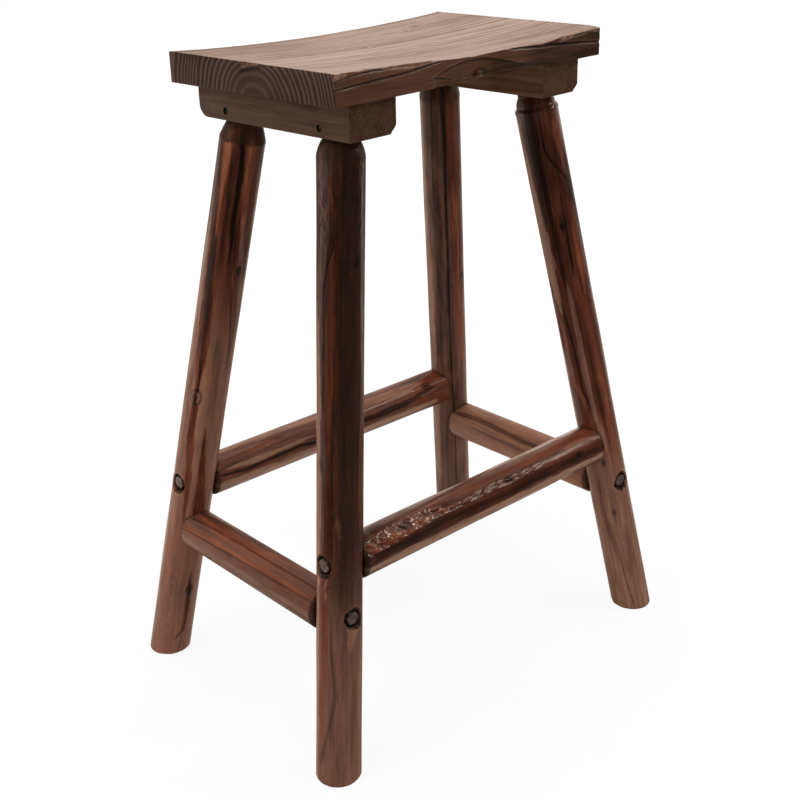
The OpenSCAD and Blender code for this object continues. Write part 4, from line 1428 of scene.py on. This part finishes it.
    # Small knots on the top
    for knot_x, knot_y, size in TOP_KNOTS:
        spread = np.hypot((x - knot_x * MM) / (1.9 * size * MM), (y - knot_y * MM) / (size * MM))
        tone = tone - 0.9 * bell(spread, 0.6) * height**8
        z = z - 0.4 * MM * bell(spread, 0.5) * height**8
        ring = ring + 1.3 * bell(spread, 2.4)
    tone = tone - 0.20 * ease((-x - 20 * MM) / (80 * MM)) * ease((y - 20 * MM) / (50 * MM)) * height**8
    tone = tone + 0.10 * ease((-x - 60 * MM) / (100 * MM)) * ease((-y - 10 * MM) / (50 * MM)) * height**8
    values = {"tone": tone, "stain_and_shade": np.clip(stain_and_shade, 0, 1), "wear_and_glint": np.clip(wear_and_glint, 0, 1), "ring": ring}
    piece = wood_object("seat_board", stacked(x, y, z), quads, SEAT_WOOD, values, raw)
    cut(piece, [seat_screw_bore(corner) for corner in CORNER_NAMES])
    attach(piece, "root")
    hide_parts("seat_plank")


# Length of the rod that cuts a mortise, longer than the mortise
MORTISE_TOOL_L = 200 * MM


def build_cleat(side, node, seed):
    """A cleat with its long chamfer, rounded back corner, rough-sawn ends and its bores."""
    radius = 0.8 * MM
    low_x, high_x = side * CLEAT_X - CLEAT_W / 2, side * CLEAT_X + CLEAT_W / 2
    lines = [
        edge_lines(low_x, high_x, 1.5 * MM, radius),
        edge_lines(-CLEAT_L / 2, CLEAT_L / 2, 1.8 * MM, radius),
        edge_lines(CLEAT_Z, SEAT_Z, 1.4 * MM, radius),
    ]
    points, quads = block(lines, radius)
    raw = points.copy()
    x, y, z = points.T.copy()
    # The chamfer along the lower edge on the +X side
    u, v = high_x - x, z - CLEAT_Z
    inside = u + v < CLEAT_CHAMFER
    x = np.where(inside, high_x - (u - v + CLEAT_CHAMFER) / 2, x)
    z = np.where(inside, CLEAT_Z + (v - u + CLEAT_CHAMFER) / 2, z)
    # The rounded lower corner at the back end
    u, v = CLEAT_L / 2 - y, z - CLEAT_Z
    corner = (u < CLEAT_ROUND) & (v < CLEAT_ROUND)
    far = np.hypot(CLEAT_ROUND - u, CLEAT_ROUND - v)
    scale = np.where(corner & (far > CLEAT_ROUND), CLEAT_ROUND / np.maximum(far, 1e-9), 1)
    y = np.where(corner, CLEAT_L / 2 - CLEAT_ROUND + (CLEAT_ROUND - u) * scale, y)
    z = np.where(corner, CLEAT_Z + CLEAT_ROUND - (CLEAT_ROUND - v) * scale, z)
    end = np.maximum(0, np.abs(raw[:, 1]) - CLEAT_L / 2 + radius) / radius
    rough = layered_noise(stacked(x * 420, 0 * x, z * 420), seed, 2)
    y = y - np.sign(raw[:, 1]) * end * 0.45 * MM * (1 + rough)
    face = 0.2 * MM * (1 + value_noise(stacked(0 * x, y * 35, z * 160), seed + 5))
    on_side = np.maximum(0, np.abs(raw[:, 0] - side * CLEAT_X) - CLEAT_W / 2 + radius) / radius
    x = x - np.sign(raw[:, 0] - side * CLEAT_X) * on_side * face
    # A swirl of the grain near the front end
    swirl = np.hypot((raw[:, 1] + 58 * MM) / (17 * MM), (raw[:, 2] - 727 * MM) / (9 * MM))
    grain = raw + 0.01 * seed
    grain[:, 2] = grain[:, 2] + 9 * MM * bell(swirl, 1)
    tone = -0.35 * bell(swirl - 0.75, 0.12) - 0.25 * bell(swirl - 1.15, 0.12)
    # The face of the +X cleat that looks inwards is redder, with straight stripes
    warm = on_side * (raw[:, 0] < CLEAT_X) * (side > 0)
    tone = tone + (0.40 + 0.40 * value_noise(stacked(0 * y, y * 9, z * 330), seed + 8)) * warm
    name = "cleat_block_" + node.split("_")[1]
    values = {"tone": tone, "warm": warm}
    piece = wood_object(name, stacked(x, y, z), quads, CLEAT_WOOD, values, grain)
    corners = [(side, -1), (side, 1)]
    bore_r = TENON_R + FIT_GAP
    tools = []
    for corner in corners:
        run = leg_top(corner) - leg_foot(corner)
        outline = [(0, 0), (bore_r, 0), (bore_r, MORTISE_TOOL_L), (0, MORTISE_TOOL_L)]
        tools.append(lathe(outline, pointing(leg_top(corner) - run * 0.1, run), 96))
    cut(piece, tools)
    cut(piece, [tenon_screw_bore(corner) for corner in corners])
    cut(piece, [seat_screw_bore(corner) for corner in corners])
    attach(piece, "root")
    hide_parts(node)


build_seat()
build_cleat(-1, "cleat_left", 70)
build_cleat(1, "cleat_right", 90)

for name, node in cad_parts.items():
    if "bolt" in name or "screw" in name:
        node.data.materials.clear()
        node.data.materials.append(BOLT_STEEL if "bolt" in name else SCREW_STEEL)


# Floor, backdrop and light

# Colour of the studio in the varnish, and the way to its open, dim side
WARM_WHITE = (1.0, 0.83, 0.71)
OPEN_SIDE = (-0.34, -0.94, 0.0)
# Strength of the world's light on the stool, and of the sheet's own glow
WORLD_LIGHT = 0.38
FLOOR_GLOW = 1.08


def make_floor():
    """A pale studio sheet that stays white to the camera and keeps the stool's soft shadow."""
    m = Nodes(bpy.data.materials.new("studio_floor"))
    place = m.place()
    spread = m.add("ShaderNodeVectorMath", {0: place}, operation="LENGTH").outputs["Value"]
    grit = m.noise(place, (300, 300, 300), 2.0)
    colour = m.mix(m.span(grit, 0.3, 0.7, 0.0, 1.0), (0.80, 0.80, 0.80), (0.82, 0.82, 0.82))
    diffuse = m.add("ShaderNodeBsdfDiffuse", {"Color": colour})
    camera_ray, glossy_ray, clear_ray = m.rays()
    # In gloss the sheet is bright behind the stool and dim on the open side of the studio
    dimmed = m.times(glossy_ray, m.span(m.dot(place, OPEN_SIDE), -0.25, 0.15, 0.0, 0.88))
    strength = m.times(m.math("SUBTRACT", 1.0, dimmed), FLOOR_GLOW)
    tint = m.mix(glossy_ray, (1, 1, 1), WARM_WHITE)
    white = m.add("ShaderNodeEmission", {"Color": tint, "Strength": strength})
    seen = m.math("MAXIMUM", m.math("MAXIMUM", camera_ray, glossy_ray), clear_ray)
    # Near the stool a part of the sheet is lit by the lamps only, and so keeps the shadow
    share = m.times(seen, m.span(spread, 0.35, 0.9, 0.84, 1.0))
    both = m.add("ShaderNodeMixShader", {0: share, 1: diffuse.outputs[0], 2: white.outputs[0]})
    m.add("ShaderNodeOutputMaterial", {"Surface": both.outputs[0]})
    # The sheet lies from a little in front of the stool to far behind it, in metres
    half, depth, ahead = 4.0, 6.0, 1.15
    towards = unit(np.array([CAMERA_AT[0], CAMERA_AT[1], 0]))
    across = np.array([-towards[1], towards[0], 0])
    corners = [
        towards * ahead - across * half, towards * ahead + across * half,
        -towards * depth + across * half, -towards * depth - across * half,
    ]
    drop = np.array([0, 0, -0.2 * MM])
    floor = meshed("studio_floor", [tuple(corner + drop) for corner in corners], [(0, 1, 2, 3)], m.owner)


def make_world():
    """White to the camera, even light on the stool, and warm white in gloss with a dark side in front."""
    m = Nodes(bpy.data.worlds.new("studio"))
    bpy.context.scene.world = m.owner
    camera_ray, glossy_ray, clear_ray = m.rays()
    direction = m.place("Generated")
    open_side = m.span(m.dot(direction, OPEN_SIDE), -0.35, 0.42, 1.0, 0.06)
    shown = m.add("ShaderNodeBackground", {"Color": (1, 1, 1, 1), "Strength": 1.0}).outputs[0]
    gloss = m.add("ShaderNodeBackground", {"Color": (*WARM_WHITE, 1), "Strength": open_side}).outputs[0]
    light = m.add("ShaderNodeBackground", {"Color": (1, 1, 1, 1), "Strength": WORLD_LIGHT}).outputs[0]
    glossy = m.add("ShaderNodeMixShader", {0: glossy_ray, 1: light, 2: gloss}).outputs[0]
    clear = m.math("MAXIMUM", camera_ray, clear_ray)
    both = m.add("ShaderNodeMixShader", {0: clear, 1: glossy, 2: shown})
    m.add("ShaderNodeOutputWorld", {"Surface": both.outputs[0]})


def soft_lamp(name, place, aim, size, power, lights=True, glints=True):
    """A square soft lamp that points at aim, and lights the surfaces, glints in their gloss, or both."""
    data = bpy.data.lights.new(name, "AREA")
    data.shape = "SQUARE"
    data.size = size
    data.energy = power
    lamp = linked(name, data)
    lamp.matrix_world = pointing(place, np.array(place) - np.array(aim))
    lamp.visible_diffuse = lights
    lamp.visible_glossy = glints
    if not lights:
        data.color = WARM_WHITE


make_floor()
make_world()
# Places and sizes in metres, and power in watts
soft_lamp("top_softbox", (0.15, 0.25, 2.3), (0, 0, 0.5), 1.5, 17)
soft_lamp("right_softbox", (1.5, -1.3, 1.6), (0, 0, 0.4), 0.32, 7.5, glints=False)
soft_lamp("left_softbox", (-1.9, 0.4, 1.5), (0, 0, 0.4), 1.0, 11, glints=False)
soft_lamp("right_glint", (1.5, -1.3, 1.6), (0, 0, 0.4), 0.4, 13, lights=False)
soft_lamp("front_glint", (0.0, -0.95, 2.2), (0, 0, 0.4), 0.35, 12, lights=False)

bpy.context.scene.view_settings.view_transform = "Standard"
